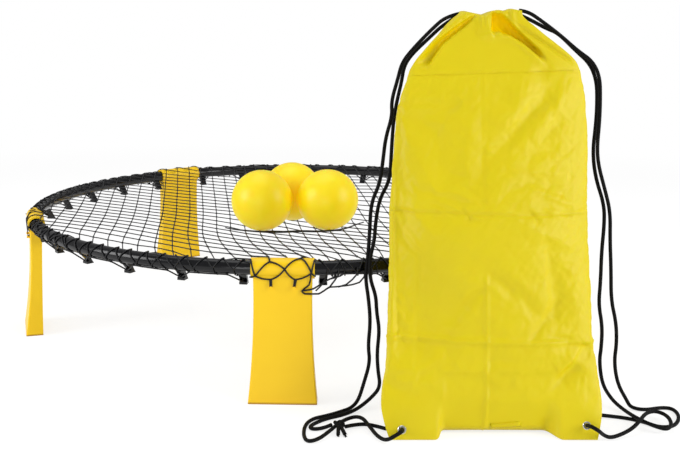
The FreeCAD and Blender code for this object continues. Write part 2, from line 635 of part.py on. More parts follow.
# The drawcords' routes: points chosen by hand, measured from the ring's axis on the floor
cordRoutes = {
    "cord_left_outer": [
        (210, -389, 518), (187, -390, 506), (156, -396, 473), (133, -405, 434), (121, -416, 390),
        (116, -428, 350), (110, -441, 300), (101, -453, 250), (96, -460, 196), (99, -464, 144),
        (102, -466, 92), (99, -469, 50), (92, -474, 20), (80, -482, 5), (61, -495, 2.6), (40, -510, 2.6),
        (20, -526, 2.6), (10, -549, 2.6), (8, -577, 2.6), (18, -599, 2.6), (36, -598, 2.6), (44, -580, 3),
        (49.7, -563.2, 5.4)],
    "cord_left_inner": [
        (205, -376, 512), (177, -380, 487), (147, -385, 452), (132, -392, 413), (127, -402, 371),
        (121, -415, 332), (121, -428, 295), (111, -446, 253), (105, -462, 204), (107, -466, 150),
        (113, -467, 100), (114, -469, 52), (111, -475, 20), (100, -486, 5), (80, -501, 2.6), (61, -514, 2.6),
        (42, -525, 2.6), (27, -537, 2.6), (19, -552, 2.6), (26, -566, 2.6), (39.5, -565, 4), (46.5, -557, 6)],
    "cord_left_link": [
        (61.3, -554.7, 7), (73, -538, 6), (87, -540, 8.2), (96, -560, 5), (102, -584, 3), (111, -604, 7),
        (124, -613, 16), (133, -605.3, 18.5), (133, -580.9, 9.6), (119, -569, 4), (103, -553, 2.6),
        (84, -545, 2.6), (64, -559, 4)],
    "cord_right_outer": [
        (300, -389, 520), (331, -391, 507), (363, -396, 485), (391, -401, 460), (407, -408, 430),
        (409, -417, 392), (404, -430, 344), (412, -436, 294), (424, -443, 239), (425, -452, 176),
        (430, -462, 113), (434, -470, 60), (440, -478, 24), (454, -487, 6), (472, -496, 2.6), (491, -492, 2.6),
        (505, -505, 2.6), (505, -527, 2.6), (492, -547, 2.6), (472, -557, 2.6), (450, -550, 2.6),
        (434, -532, 2.6), (412, -525, 2.6), (392, -529, 5)],
    "cord_right_inner": [
        (305, -377, 515), (335, -384, 501), (362, -388, 485), (389, -395, 457), (400, -404, 423),
        (399, -415, 384), (396, -423, 340), (404, -431, 288), (412, -440, 242), (412, -452, 178),
        (412, -462, 118), (414, -470, 66), (420, -478, 26), (430, -489, 6), (438, -508, 4), (448, -538, 8.4),
        (460, -563, 8), (476, -573, 7.5), (489, -560, 8.6), (490, -537, 8.6), (479, -518, 6), (464, -522, 12),
        (452, -541, 14), (440, -561, 12), (424, -578, 5), (403, -592, 4), (385, -603, 10), (372, -610, 20),
        (363.5, -604.4, 23.8), (363.5, -579.5, 14.8), (374, -567, 7), (383, -552, 4), (385.5, -539.5, 5)],
}
knotPlaces = {"left": (55.4, -558.5, 7.0, -83.0), "right": (385.0, -531.0, 7.0, 150.0)}


def makeCord(label, points):
    """A round cord along straight runs that are joined by arcs as large as the runs allow."""
    places = [Vector(size("ring_x") + x, size("ring_y") + y, z) for x, y, z in points]
    edges, radii, start = [], [], places[0]
    for i in range(1, len(places) - 1):
        before, here, after = places[i - 1], places[i], places[i + 1]
        runIn, runOut = here.sub(before), after.sub(here)
        turn = runIn.getAngle(runOut)
        reach = 0.45 * min(runIn.Length, runOut.Length)
        radii.append(reach / math.tan(turn / 2))
        runIn.normalize()
        runOut.normalize()
        enter, leave = here - runIn * reach, here + runOut * reach
        bisector = (runOut - runIn)
        bisector.normalize()
        middle = here + bisector * (radii[-1] / math.cos(turn / 2) - radii[-1])
        edges.append(Part.LineSegment(start, enter).toShape())
        edges.append(Part.Arc(enter, middle, leave).toShape())
        start = leave
    edges.append(Part.LineSegment(start, places[-1]).toShape())
    path = Part.Wire(edges)
    heading = places[1].sub(places[0])
    section = Part.Wire([Part.Circle(places[0], heading, size("cord_diameter") / 2).toShape()])
    tube = path.makePipeShell([section], True, True)
    piece = doc.addObject("Part::Feature", label)
    piece.Label = label
    piece.Shape = tube
    expected = math.pi * size("cord_diameter") ** 2 / 4 * path.Length
    print("%s length %.0f mm, smallest radius %.1f mm, volume over section times length %.4f" % (
        label, path.Length, min(radii), tube.Volume / expected))
    return piece


def makeKnot(mark):
    """The overhand knot that ties the cord's ends, with its two short tails."""
    x, y, z, turn = knotPlaces[mark]
    ball = doc.addObject("Part::Sphere", "knot_core_" + mark)
    ball.setExpression("Radius", cell("<knot_diameter> / 2"))
    ball.Placement = Placement(Vector(0, 0, 0), Rotation(Vector(0, 0, 1), turn + 180))
    tails = []
    for number, spread in ((1, -11.0), (2, 11.0)):
        tail = doc.addObject("Part::Cylinder", "knot_tail_%s_%d" % (mark, number))
        tail.setExpression("Radius", cell("<cord_diameter> / 2"))
        tail.Height = 27.0
        tail.Placement = Placement(Vector(0, 0, -1.0), Rotation(Vector(0, 0, 1), turn + spread).multiply(
            Rotation(Vector(0, 1, 0), 97)))
        tails.append(tail)
    knot = doc.addObject("Part::MultiFuse", "knot_" + mark)
    knot.Label = "knot_" + mark
    knot.Shapes = [ball] + tails
    knot.Placement = Placement(Vector(size("ring_x") + x, size("ring_y") + y, z), Rotation())
    return knot


pieces = []
for number in range(1, int(size("leg_count")) + 1):
    pieces.append(makeRingSection(number))
    pieces.append(makeLeg(number))
pieces.append(makeNet())
for number in range(1, len(ballPlaces) + 1):
    pieces.extend(makeBall(number))
pieces.append(makeBag())
for mark in ("left", "right"):
    pieces.extend([makeEyelet(mark), makeWasher(mark), makeKnot(mark)])
for label, points in cordRoutes.items():
    pieces.append(makeCord(label, points))

doc.recompute()
faults = [o.Name for o in doc.Objects if "Invalid" in o.State or "Error" in o.State]
for piece in pieces:
    shape = piece.Shape
    if shape.isNull() or not shape.isValid() or len(shape.Solids) != 1:
        faults.append(piece.Label)
if faults:
    raise RuntimeError("these objects failed: " + ", ".join(faults))
for piece in pieces:
    piece.Shape.exportStep("parts/%s.step" % piece.Label)
    box = piece.Shape.BoundBox
    print("%s volume %.0f box X %.1f..%.1f Y %.1f..%.1f Z %.1f..%.1f" % (
        piece.Label, piece.Shape.Volume, box.XMin, box.XMax, box.YMin, box.YMax, box.ZMin, box.ZMax))
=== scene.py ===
import bpy
import bmesh
import math
import numpy as np
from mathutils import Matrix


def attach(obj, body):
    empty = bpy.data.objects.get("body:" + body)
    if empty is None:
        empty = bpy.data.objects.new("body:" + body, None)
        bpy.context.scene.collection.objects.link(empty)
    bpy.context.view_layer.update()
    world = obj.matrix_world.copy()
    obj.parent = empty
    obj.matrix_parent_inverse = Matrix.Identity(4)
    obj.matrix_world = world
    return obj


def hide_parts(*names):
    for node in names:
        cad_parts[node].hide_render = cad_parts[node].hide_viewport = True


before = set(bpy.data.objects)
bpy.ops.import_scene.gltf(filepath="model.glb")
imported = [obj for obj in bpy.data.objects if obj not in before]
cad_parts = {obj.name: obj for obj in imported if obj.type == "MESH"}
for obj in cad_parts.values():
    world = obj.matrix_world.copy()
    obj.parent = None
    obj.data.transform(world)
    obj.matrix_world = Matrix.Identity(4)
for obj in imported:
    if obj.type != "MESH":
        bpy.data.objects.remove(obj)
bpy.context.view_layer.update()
print("frame loaded")

# Everything is placed from the hoop's axis, which stands on the floor here, in metres
hoop = {"x": 0.004, "y": 0.068, "radius": 0.450, "height": 0.185, "tube": 0.010,
        "sleeveRadius": 0.44897, "sleeve": 0.014, "sleeveWide": 0.086, "frontLeg": -92.12, "legs": 5}
floorPoint = np.array([hoop["x"], hoop["y"], 0.0])
frontTurn = math.radians(hoop["frontLeg"])
frontAhead = np.array([math.cos(frontTurn), math.sin(frontTurn)])  # outwards through the front leg
frontRight = np.array([-math.sin(frontTurn), math.cos(frontTurn)])


# Camera: it stands in front of the set, half a metre up, and looks a little down
view = {"place": (0.004, -1.703015, 0.517088), "down": 0.204, "lens": 53.50, "film": 36.0, "shift": 0.0658,
        "nearest": 0.02}


def makeCamera():
    camera = bpy.data.cameras.new("camera")
    camera.lens = view["lens"]
    camera.sensor_width = view["film"]
    camera.shift_x = view["shift"]
    camera.clip_start = view["nearest"]
    holder = bpy.data.objects.new("camera", camera)
    holder.location = view["place"]
    holder.rotation_euler = (math.pi / 2 - view["down"], 0, 0)
    bpy.context.scene.collection.objects.link(holder)
    bpy.context.scene.camera = holder


makeCamera()
print("camera placed")


# Tools for surfaces: each shape is worked out as whole arrays
tiny = 1e-12  # keeps a division from failing where a length is nothing


def linear(code):  # sRGB hex to the linear colour that a shader takes
    value = np.array([int(code[i:i + 2], 16) for i in (1, 3, 5)]) / 255
    value = np.where(value <= 0.04045, value / 12.92, ((value + 0.055) / 1.055) ** 2.4)
    return (*[float(v) for v in value], 1.0)


def readPoints(mesh, kind="co"):
    values = np.empty(len(mesh.vertices) * 3)
    mesh.vertices.foreach_get(kind, values)
    return values.reshape(-1, 3)


def smooth(low, high, value):  # 0 below low, 1 above high, an S curve between them
    share = np.clip((value - low) / (high - low), 0, 1)
    return share * share * (3 - 2 * share)


def buildMesh(name, points, faces, uvs=None):
    # Puts flat arrays of corners and four-sided faces into a new object at the origin
    mesh = bpy.data.meshes.new(name)
    mesh.vertices.add(len(points))
    mesh.vertices.foreach_set("co", np.asarray(points, np.float32).ravel())
    mesh.loops.add(faces.size)
    mesh.loops.foreach_set("vertex_index", faces.astype(np.int32).ravel())
    mesh.polygons.add(len(faces))
    mesh.polygons.foreach_set("loop_start", np.arange(0, faces.size, faces.shape[1], dtype=np.int32))
    mesh.polygons.foreach_set("use_smooth", np.ones(len(faces), bool))
    if uvs is not None:
        layer = mesh.uv_layers.new(name="UVMap")
        layer.data.foreach_set("uv", np.asarray(uvs, np.float32).reshape(-1, 2).ravel())
    mesh.update(calc_edges=True)
    mesh.validate()
    piece = bpy.data.objects.new(name, mesh)
    bpy.context.scene.collection.objects.link(piece)
    return piece


def tubeArrays(paths, radii, sides):
    # paths is (strands, steps, 3) and radii (strands, steps). A ring of corners stands round each
    # step, square to the path: centre + radius * (cos a * across + sin a * up), where across is
    # carried along the path with the least twist. The ends close in a point.
    paths = np.asarray(paths, float)
    paths = np.concatenate([paths[:, :1], paths, paths[:, -1:]], 1)
    radii = np.concatenate([radii[:, :1] * 0, radii, radii[:, -1:] * 0], 1)
    strands, steps = paths.shape[:2]
    along = np.gradient(paths, axis=1)
    along[:, 0] = along[:, 1]
    along[:, -1] = along[:, -2]
    along /= np.linalg.norm(along, axis=2, keepdims=True) + tiny
    helper = np.where(np.abs(along[:, 0, 2:3]) < 0.9, [[0.0, 0.0, 1.0]], [[1.0, 0.0, 0.0]])
    carried = np.cross(along[:, 0], helper)
    across = np.empty_like(paths)
    for step in range(steps):
        carried = carried - (carried * along[:, step]).sum(1, keepdims=True) * along[:, step]
        carried /= np.linalg.norm(carried, axis=1, keepdims=True) + tiny
        across[:, step] = carried
    up = np.cross(along, across)
    turn = np.linspace(0, 2 * np.pi, sides, endpoint=False)
    ring = np.cos(turn)[:, None] * across[:, :, None] + np.sin(turn)[:, None] * up[:, :, None]
    points = paths[:, :, None] + radii[:, :, None, None] * ring
    number = np.arange(points[..., 0].size).reshape(strands, steps, sides)
    after = np.roll(number, -1, 2)
    faces = np.stack([number[:, :-1], after[:, :-1], after[:, 1:], number[:, 1:]], -1)
    # The UV map goes once round the tube across, and in metres along it upwards
    length = np.cumsum(np.linalg.norm(np.diff(paths, axis=1), axis=2), 1)
    length = np.concatenate([np.zeros((strands, 1)), length], 1)
    start = np.broadcast_to(np.arange(sides) / sides, faces.shape[:3])
    end = start + 1 / sides
    low = np.broadcast_to(length[:, :-1, None], faces.shape[:3])
    high = np.broadcast_to(length[:, 1:, None], faces.shape[:3])
    uvs = np.stack([np.stack([start, end, end, start], -1), np.stack([low, low, high, high], -1)], -1)
    return points.reshape(-1, 3), faces.reshape(-1, 4), uvs.reshape(-1, 4, 2)


def tubePiece(name, paths, radii, sides):
    return buildMesh(name, *tubeArrays(paths, radii, sides))


def closeSeams(piece):
    # Joins the corners that lie on the same place and turns every face outwards
    work = bmesh.new()
    work.from_mesh(piece.data)
    bmesh.ops.remove_doubles(work, verts=work.verts, dist=1e-5)
    bmesh.ops.recalc_face_normals(work, faces=work.faces)
    work.to_mesh(piece.data)
    work.free()
    piece.data.polygons.foreach_set("use_smooth", np.ones(len(piece.data.polygons), bool))


def doubleSheet(name, front, back, frontPlan, backPlan):
    # Two grids of one size as a closed skin: the second one's faces are turned round. The plans are
    # the flat cloth's own places, in metres, and become the UV map.
    rows, columns = front.shape[:2]
    number = np.arange(rows * columns).reshape(rows, columns)
    faces = np.stack([number[:-1, :-1], number[:-1, 1:], number[1:, 1:], number[1:, :-1]], -1).reshape(-1, 4)
    faces = np.concatenate([faces, faces[:, ::-1] + rows * columns])
    points = np.concatenate([front.reshape(-1, 3), back.reshape(-1, 3)])
    plan = np.concatenate([frontPlan.reshape(-1, 2), backPlan.reshape(-1, 2)])
    piece = buildMesh(name, points, faces, plan[faces])
    closeSeams(piece)
    return piece


# Tools for materials
def addNode(tree, kind, links=(), colours=(), **settings):
    # Adds one node; links are (source node or socket, name or number of this node's input), and
    # colours are the hex codes of a ramp's stops
    node = tree.nodes.new(kind)
    for stop, code in enumerate(colours):
        node.color_ramp.elements[stop].color = linear(code)
    for key, value in settings.items():
        if key in node.inputs:
            node.inputs[key].default_value = value
        else:
            setattr(node, key, value)
    for source, target in links:
        tree.links.new(source.outputs[0] if hasattr(source, "outputs") else source, node.inputs[target])
    return node


def startMaterial(name, **settings):
    material = bpy.data.materials.new(name)
    material.use_nodes = True
    tree = material.node_tree
    surface = tree.nodes["Principled BSDF"]
    for key, value in settings.items():
        surface.inputs[key.replace("_", " ")].default_value = value
    return material, tree, surface


def softTints(tree, scale, detail, colours):
    # Two tints in soft clouds that lie still on the object: the clouds and the tinted ramp
    place = addNode(tree, "ShaderNodeTexCoord")
    cloud = addNode(tree, "ShaderNodeTexNoise", [(place.outputs["Object"], "Vector")],
                    Scale=scale, Detail=detail)
    return cloud, addNode(tree, "ShaderNodeValToRGB", [(cloud, "Fac")], colours)


def fineGrain(tree, surface, scale, detail, strength):
    # The faint grain of a moulded skin: small bumps that lie still on the object
    place = addNode(tree, "ShaderNodeTexCoord")
    grain = addNode(tree, "ShaderNodeTexNoise", [(place.outputs["Object"], "Vector")],
                    Scale=scale, Detail=detail)
    bump = addNode(tree, "ShaderNodeBump", [(grain, "Height")], Strength=strength, Distance=0.0003)
    tree.links.new(bump.outputs[0], surface.inputs["Normal"])


# Drawcord: 5 mm braided polypropylene. Eight yarns cross in a diamond pattern, so the
# surface is a fine lattice of short rounded ribs that keep a soft dull gloss.
drawcordLook = {"dark": "#030303", "light": "#0b0b0c", "yarn": 0.0016, "yarnsRound": 8, "roughness": 0.62,
                "specular": 0.14, "ribs": 0.0005}


def braidedPolypropylene():
    # Two families of slanting waves cross, and the higher one is the yarn on top:
    # max(sin 2 pi (yarns u / 2 + v / 2 yarn), sin 2 pi (-yarns u / 2 + v / 2 yarn))
    look = drawcordLook
    material, tree, surface = startMaterial("braidedPolypropylene", Roughness=look["roughness"], IOR=1.49,
                                            Specular_IOR_Level=look["specular"])
    place = addNode(tree, "ShaderNodeUVMap")
    split = addNode(tree, "ShaderNodeSeparateXYZ", [(place, 0)])
    waves = []
    for turn in (1, -1):
        around = addNode(tree, "ShaderNodeMath", [(split.outputs[0], 0)], operation="MULTIPLY")
        around.inputs[1].default_value = turn * look["yarnsRound"] / 2
        ahead = addNode(tree, "ShaderNodeMath", [(split.outputs[1], 0)], operation="MULTIPLY")
        ahead.inputs[1].default_value = 0.5 / look["yarn"]
        total = addNode(tree, "ShaderNodeMath", [(around, 0), (ahead, 1)], operation="ADD")
        turned = addNode(tree, "ShaderNodeMath", [(total, 0)], operation="MULTIPLY")
        turned.inputs[1].default_value = 2 * math.pi
        waves.append(addNode(tree, "ShaderNodeMath", [(turned, 0)], operation="SINE"))
    braid = addNode(tree, "ShaderNodeMath", [(waves[0], 0), (waves[1], 1)], operation="MAXIMUM")
    share = addNode(tree, "ShaderNodeMapRange", [(braid, 0)])
    share.inputs[1].default_value = -0.6
    tint = addNode(tree, "ShaderNodeValToRGB", [(share, "Fac")], (look["dark"], look["light"]))
    ribs = addNode(tree, "ShaderNodeBump", [(share, "Height")], Strength=0.6, Distance=look["ribs"])
    tree.links.new(tint.outputs[0], surface.inputs["Base Color"])
    tree.links.new(ribs.outputs[0], surface.inputs["Normal"])
    return material


# Cords: the routes' points are measured from the hoop's axis on the floor, in metres
cordRoutes = {
    "left_outer": [
        (0.22, -0.388, 0.5208), (0.202, -0.3882, 0.517), (0.1834, -0.391, 0.5006),
        (0.1606, -0.3952, 0.4776), (0.1432, -0.3996, 0.4573), (0.1371, -0.4051, 0.4337),
        (0.1287, -0.412, 0.4062), (0.1298, -0.417, 0.3866), (0.1206, -0.4256, 0.3581),
        (0.1171, -0.4333, 0.3296), (0.1129, -0.4411, 0.2998), (0.1009, -0.4473, 0.2738),
        (0.0992, -0.4545, 0.2386), (0.0971, -0.459, 0.2041), (0.0937, -0.4617, 0.1745),
        (0.0982, -0.4637, 0.1474), (0.1013, -0.4651, 0.1143), (0.0983, -0.4668, 0.081),
        (0.1013, -0.4684, 0.0588), (0.0926, -0.4725, 0.029), (0.0856, -0.4799, 0.0089),
        (0.0751, -0.4956, 0.0036), (0.0592, -0.5067, 0.0026), (0.0409, -0.5202, 0.0026),
        (0.0232, -0.529, 0.0026), (0.0128, -0.5488, 0.0026), (0.01, -0.5806, 0.0026),
        (0.0142, -0.6031, 0.0026), (0.0282, -0.5991, 0.004), (0.0419, -0.5784, 0.005),
        (0.0497, -0.5635, 0.0054)],
    "left_inner": [
        (0.2167, -0.376, 0.5157), (0.2012, -0.3771, 0.5071), (0.1811, -0.3798, 0.4885),
        (0.1582, -0.3828, 0.4672), (0.1475, -0.3851, 0.4513), (0.1442, -0.389, 0.43),
        (0.1386, -0.3933, 0.4074), (0.1344, -0.3984, 0.3862), (0.1315, -0.4057, 0.3598),
        (0.1293, -0.4167, 0.3272), (0.127, -0.4262, 0.3001), (0.1131, -0.4356, 0.2772),
        (0.107, -0.4514, 0.2488), (0.1054, -0.4588, 0.2259), (0.0992, -0.4658, 0.203),
        (0.0991, -0.4681, 0.1762), (0.1081, -0.4659, 0.1508), (0.1091, -0.4664, 0.1287),
        (0.1135, -0.4669, 0.1036), (0.1105, -0.4681, 0.073), (0.1119, -0.4698, 0.0479),
        (0.1156, -0.474, 0.0252), (0.1024, -0.4808, 0.0121), (0.0867, -0.4953, 0.005),
        (0.0739, -0.5093, 0.0036), (0.0603, -0.5185, 0.0026), (0.0422, -0.5283, 0.0026),
        (0.0269, -0.5423, 0.0026), (0.0176, -0.5569, 0.0026), (0.0232, -0.5649, 0.0026),
        (0.039, -0.5618, 0.004), (0.0465, -0.5572, 0.006)],
    "left_link": [
        (0.0599, -0.5495, 0.007), (0.0718, -0.5358, 0.0075), (0.0863, -0.5388, 0.009),
        (0.0946, -0.5624, 0.006), (0.1021, -0.5885, 0.004), (0.1116, -0.6082, 0.006),
        (0.124, -0.613, 0.016), (0.133, -0.6053, 0.0185), (0.133, -0.5809, 0.0096),
        (0.119, -0.569, 0.004), (0.103, -0.553, 0.0026), (0.084, -0.545, 0.0026), (0.064, -0.559, 0.004)],
    "right_outer": [
        (0.3006, -0.383, 0.525), (0.3119, -0.3836, 0.5239), (0.3291, -0.3905, 0.5118),
        (0.3545, -0.3945, 0.4928), (0.3786, -0.3986, 0.4718), (0.398, -0.4013, 0.4587),
        (0.4079, -0.4062, 0.4377), (0.4081, -0.4133, 0.4076), (0.4066, -0.4205, 0.3789),
        (0.4026, -0.4297, 0.3452), (0.4052, -0.4327, 0.3214), (0.4147, -0.4366, 0.2896),
        (0.4225, -0.4403, 0.2603), (0.4229, -0.4453, 0.2229), (0.425, -0.4506, 0.1855),
        (0.4257, -0.4573, 0.1427), (0.4329, -0.462, 0.1133), (0.4343, -0.4662, 0.085),
        (0.4311, -0.4701, 0.0595), (0.4357, -0.4766, 0.0305), (0.4466, -0.4846, 0.0107),
        (0.4498, -0.4926, 0.0034), (0.4654, -0.5016, 0.0031), (0.4922, -0.4907, 0.0026),
        (0.5067, -0.4953, 0.0026), (0.5047, -0.5239, 0.0026), (0.4866, -0.5546, 0.0026),
        (0.4661, -0.5588, 0.0026), (0.453, -0.5413, 0.0026), (0.4351, -0.5286, 0.0026),
        (0.415, -0.5212, 0.0026), (0.3953, -0.5207, 0.0046)],
    "right_inner": [
        (0.3008, -0.3791, 0.5199), (0.3167, -0.3797, 0.513), (0.3379, -0.3836, 0.5012),
        (0.354, -0.3855, 0.4952), (0.3764, -0.3917, 0.4729), (0.3971, -0.396, 0.4544),
        (0.4055, -0.4012, 0.4308), (0.4057, -0.4075, 0.4018), (0.4039, -0.4137, 0.3756),
        (0.3989, -0.4232, 0.339), (0.4034, -0.4285, 0.3045), (0.4152, -0.4345, 0.2701),
        (0.4157, -0.4397, 0.2437), (0.4121, -0.4466, 0.2067), (0.4111, -0.4538, 0.1669),
        (0.4087, -0.4587, 0.1376), (0.4142, -0.4635, 0.1081), (0.4133, -0.4679, 0.0799),
        (0.4107, -0.471, 0.0612), (0.4146, -0.4771, 0.0307), (0.4254, -0.4851, 0.0131),
        (0.4355, -0.4913, 0.004), (0.4384, -0.5233, 0.0068), (0.4433, -0.5528, 0.01),
        (0.4571, -0.57, 0.0083), (0.4688, -0.5777, 0.0078), (0.4806, -0.56, 0.008),
        (0.4843, -0.5338, 0.0086), (0.475, -0.5174, 0.0086), (0.4557, -0.5341, 0.0126),
        (0.4363, -0.5682, 0.016), (0.425, -0.5775, 0.01), (0.4102, -0.5837, 0.0046),
        (0.3918, -0.5946, 0.004), (0.3828, -0.5945, 0.0078), (0.372, -0.61, 0.02),
        (0.3635, -0.6044, 0.0238), (0.3635, -0.5795, 0.0148), (0.374, -0.567, 0.007),
        (0.383, -0.552, 0.004), (0.3855, -0.5395, 0.005)],
}
cordValues = {"diameter": 0.005, "sides": 14, "stepsPerPoint": 10,
              "lengths": {"left_outer": 0.765, "left_inner": 0.697, "left_link": 0.239,
                          "right_outer": 0.794, "right_inner": 0.959}}


def splineLine(name, points, steps):
    # The route's own curve: a NURBS spline whose control points are the route's points
    curve = bpy.data.curves.new(name, "CURVE")
    curve.dimensions = "3D"
    curve.resolution_u = steps
    spline = curve.splines.new("NURBS")
    spline.points.add(len(points) - 1)
    flat = np.ones((len(points), 4))
    flat[:, :3] = np.array(points) + floorPoint
    spline.points.foreach_set("co", flat.ravel())
    spline.order_u = 3
    spline.use_endpoint_u = True
    holder = bpy.data.objects.new(name, curve)
    bpy.context.scene.collection.objects.link(holder)
    bpy.context.view_layer.update()
    mesh = bpy.data.meshes.new_from_object(holder)
    line = readPoints(mesh)
    bpy.data.objects.remove(holder)
    bpy.data.curves.remove(curve)
    bpy.data.meshes.remove(mesh)
    return line


def makeCords(braid):
    for name, points in cordRoutes.items():
        line = splineLine("route_" + name, points, cordValues["stepsPerPoint"])
        radius = np.full((1, len(line)), cordValues["diameter"] / 2)
        piece = tubePiece("drawcord_" + name, line[None], radius, cordValues["sides"])
        piece.data.materials.append(braid)
        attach(piece, "bag")
        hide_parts("cord_" + name)


braid = braidedPolypropylene()
makeCords(braid)
print("cords made")


# Net: 2 mm black twine knotted into cells of about 25 mm, pulled over the hoop to its hooks
netValues = {"cellAcross": 0.025, "cellAlong": 0.027, "rowTurn": -11.0, "columnTurn": 96.0, "cells": 30,
             "start": 0.004, "uneven": 0.0009, "seed": 7, "reach": 0.492,
             "rowPull": 0.55, "rowLine": (-0.12, 0.9), "rowBend": 0.03,
             "columnPull": 0.34, "columnLine": -0.16, "columnBend": 0.02,
             "flatReach": 0.165, "flatHeight": 0.1732, "slopeBend": 0.012,
             "edge": 0.003, "overTube": 0.0014, "topTurn": 0.25, "rimTurn": 1.82,
             "twine": 0.00088, "sides": 5, "knot": 0.0016, "parts": 5, "rounds": 60, "gap": 0.0012,
             "hookFirst": 7.0, "hooks": 6, "hookReach": 0.4455, "hookHeight": 0.1635,
             "pegSpread": 0.0155, "pegReach": 0.463, "pegHeight": 0.1610,
             "caught": 1.9, "drawn": 0.35, "halfway": 5.8, "under": -100, "rise": 75, "underGap": 0.0016,
             "border": 1.25, "borderGap": 0.0014, "bareLeg": 2.2, "bareFront": (-6.2, 14.5)}
# Where the balls' weight creases the net, strands lie together and show as one thick line
creaseValues = {"line": -0.155, "slant": 0.05, "middle": -0.01, "wide": 0.030, "ends": (0.08, 0.16),
                "pull": 0.86, "held": 0.012, "heldEnds": (0.09, 0.16), "height": 0.1738,
                "twine": 0.0019, "steps": 60,
                "points": [(-0.116, -0.1295), (-0.1012, -0.1431), (-0.0728, -0.1565), (-0.045, -0.1647),
                           (-0.0176, -0.1631), (0.01, -0.1565), (0.0375, -0.1598), (0.0653, -0.1515),
                           (0.087, -0.133), (0.1029, -0.1017), (0.1165, -0.0839)]}
ballValues = {"radius": 0.050, "high": 0.222,
              "places": [(-0.0545, -0.1415), (0.0533, -0.1355), (-0.0056, -0.0535)],
              "tilt": 118, "spins": (35, 160, 80), "rows": 64, "columns": 96,
              "seam": (0.004, 0.02), "dip": (0.012, 0.12)}
# The upper face of a leg folded in by 80 degrees: how far inwards of the tube it starts and where it
# runs out, how high it starts over the tube's centre, and how much it falls per metre
foldedLeg = {"start": 0.020, "lead": 0.006, "ends": (0.185, 0.22), "high": 0.0058, "fall": 0.262}
sleeveBlend = 0.004  # over this length beside a sleeve the net changes from the tube to the sleeve


def pushOut(points, gap):
    # Keeps points outside the hoop's tube, the wider leg sleeves and the balls: a point nearer to
    # a centre line than the radius moves straight away from it. Inwards of a sleeve it also stays
    # above the leg's upper face as it lies when folded in, a straight line that falls away.
    away = np.hypot(points[:, 0], points[:, 1])
    angle = np.degrees(np.arctan2(points[:, 1], points[:, 0]))
    step = 360 / hoop["legs"]
    offLeg = (angle - hoop["frontLeg"] + step / 2) % step - step / 2
    sideways = np.abs(away * np.sin(np.radians(offLeg)))
    onLeg = 1 - smooth(hoop["sleeveWide"] / 2, hoop["sleeveWide"] / 2 + sleeveBlend, sideways)
    centre = hoop["radius"] * (1 - onLeg) + onLeg * hoop["sleeveRadius"] / np.cos(np.radians(offLeg))
    need = hoop["tube"] + onLeg * (hoop["sleeve"] - hoop["tube"]) + gap
    out, up = away - centre, points[:, 2] - hoop["height"]
    scale = np.maximum(1, need / (np.hypot(out, up) + 1e-9))
    newAway = centre + out * scale
    points[:, 2] = hoop["height"] + up * scale
    points[:, :2] *= (newAway / away)[:, None]
    inwards, start = centre - newAway, foldedLeg["start"]
    face = hoop["height"] + foldedLeg["high"] - foldedLeg["fall"] * (inwards - start) + gap
    overLeg = smooth(start - foldedLeg["lead"], start, inwards) * (1 - smooth(*foldedLeg["ends"], inwards))
    points[:, 2] += onLeg * overLeg * np.maximum(0, face - points[:, 2])
    for x, y in ballValues["places"]:
        middle = np.array([x, y, ballValues["high"]])
        off = points - middle
        far = np.linalg.norm(off, axis=1, keepdims=True) + 1e-9
        points[:] = middle + off * np.maximum(1, (ballValues["radius"] + gap) / far)
    return points


def anchorPlaces():
    # Six hooks on each tube section and two pegs on each leg, as angle, reach and height
    value = netValues
    step = 360 / hoop["legs"]
    legs = hoop["frontLeg"] + step * np.arange(hoop["legs"])
    apart = (step - 2 * value["hookFirst"]) / (value["hooks"] - 1)
    angles = (legs[:, None] + value["hookFirst"] + apart * np.arange(value["hooks"])).ravel()
    pegTurn = math.degrees(math.atan2(value["pegSpread"], value["pegReach"]))
    pegs = (legs[:, None] + np.array([-pegTurn, pegTurn])).ravel()
    places = [(angle, value["hookReach"], value["hookHeight"]) for angle in angles]
    places += [(angle, value["pegReach"], value["pegHeight"]) for angle in pegs]
    return np.array(places)


def softly(value, width):  # 0 below nothing, the value itself above it, and a soft bend between
    return width * np.logaddexp(0, value / width)


def creaseOffset(x, y):  # how far a place lies behind the crease's line
    return y - creaseValues["line"] - creaseValues["slant"] * x


def pullNet(flat):
    # The net is slack and drawn askew: right of a slanting line its rows turn towards the viewer,
    # y - pull * (x - line), and in front of the balls' hollow its columns lean to the right,
    # x + pull * (hollow - y). A few rows bunch up where the balls' weight creases it.
    value = creaseValues
    x, y = flat[:, 0].copy(), flat[:, 1].copy()
    line = netValues["rowLine"][0] + np.clip(y, -0.5, 0.1) * netValues["rowLine"][1]
    newY = y - netValues["rowPull"] * softly(x - line, netValues["rowBend"]) * (1 - smooth(0.0, 0.2, y))
    sway = smooth(-0.26, 0.0, x)
    newX = x + netValues["columnPull"] * softly(netValues["columnLine"] - y, netValues["columnBend"]) * sway
    off = creaseOffset(newX, newY)
    middle = np.abs(newX - value["middle"])
    bunch = np.exp(-(off / value["wide"]) ** 2) * (1 - smooth(*value["ends"], middle))
    return np.stack([newX, newY - value["pull"] * off * bunch], 1)


def onFrontSleeve(flat):
    # True where a place lies on the front leg's sleeve or beyond it
    ahead, sideways = flat @ frontAhead, flat @ frontRight
    return (ahead > 0.430) & (np.abs(sideways) < hoop["sleeveWide"] / 2 + sleeveBlend)


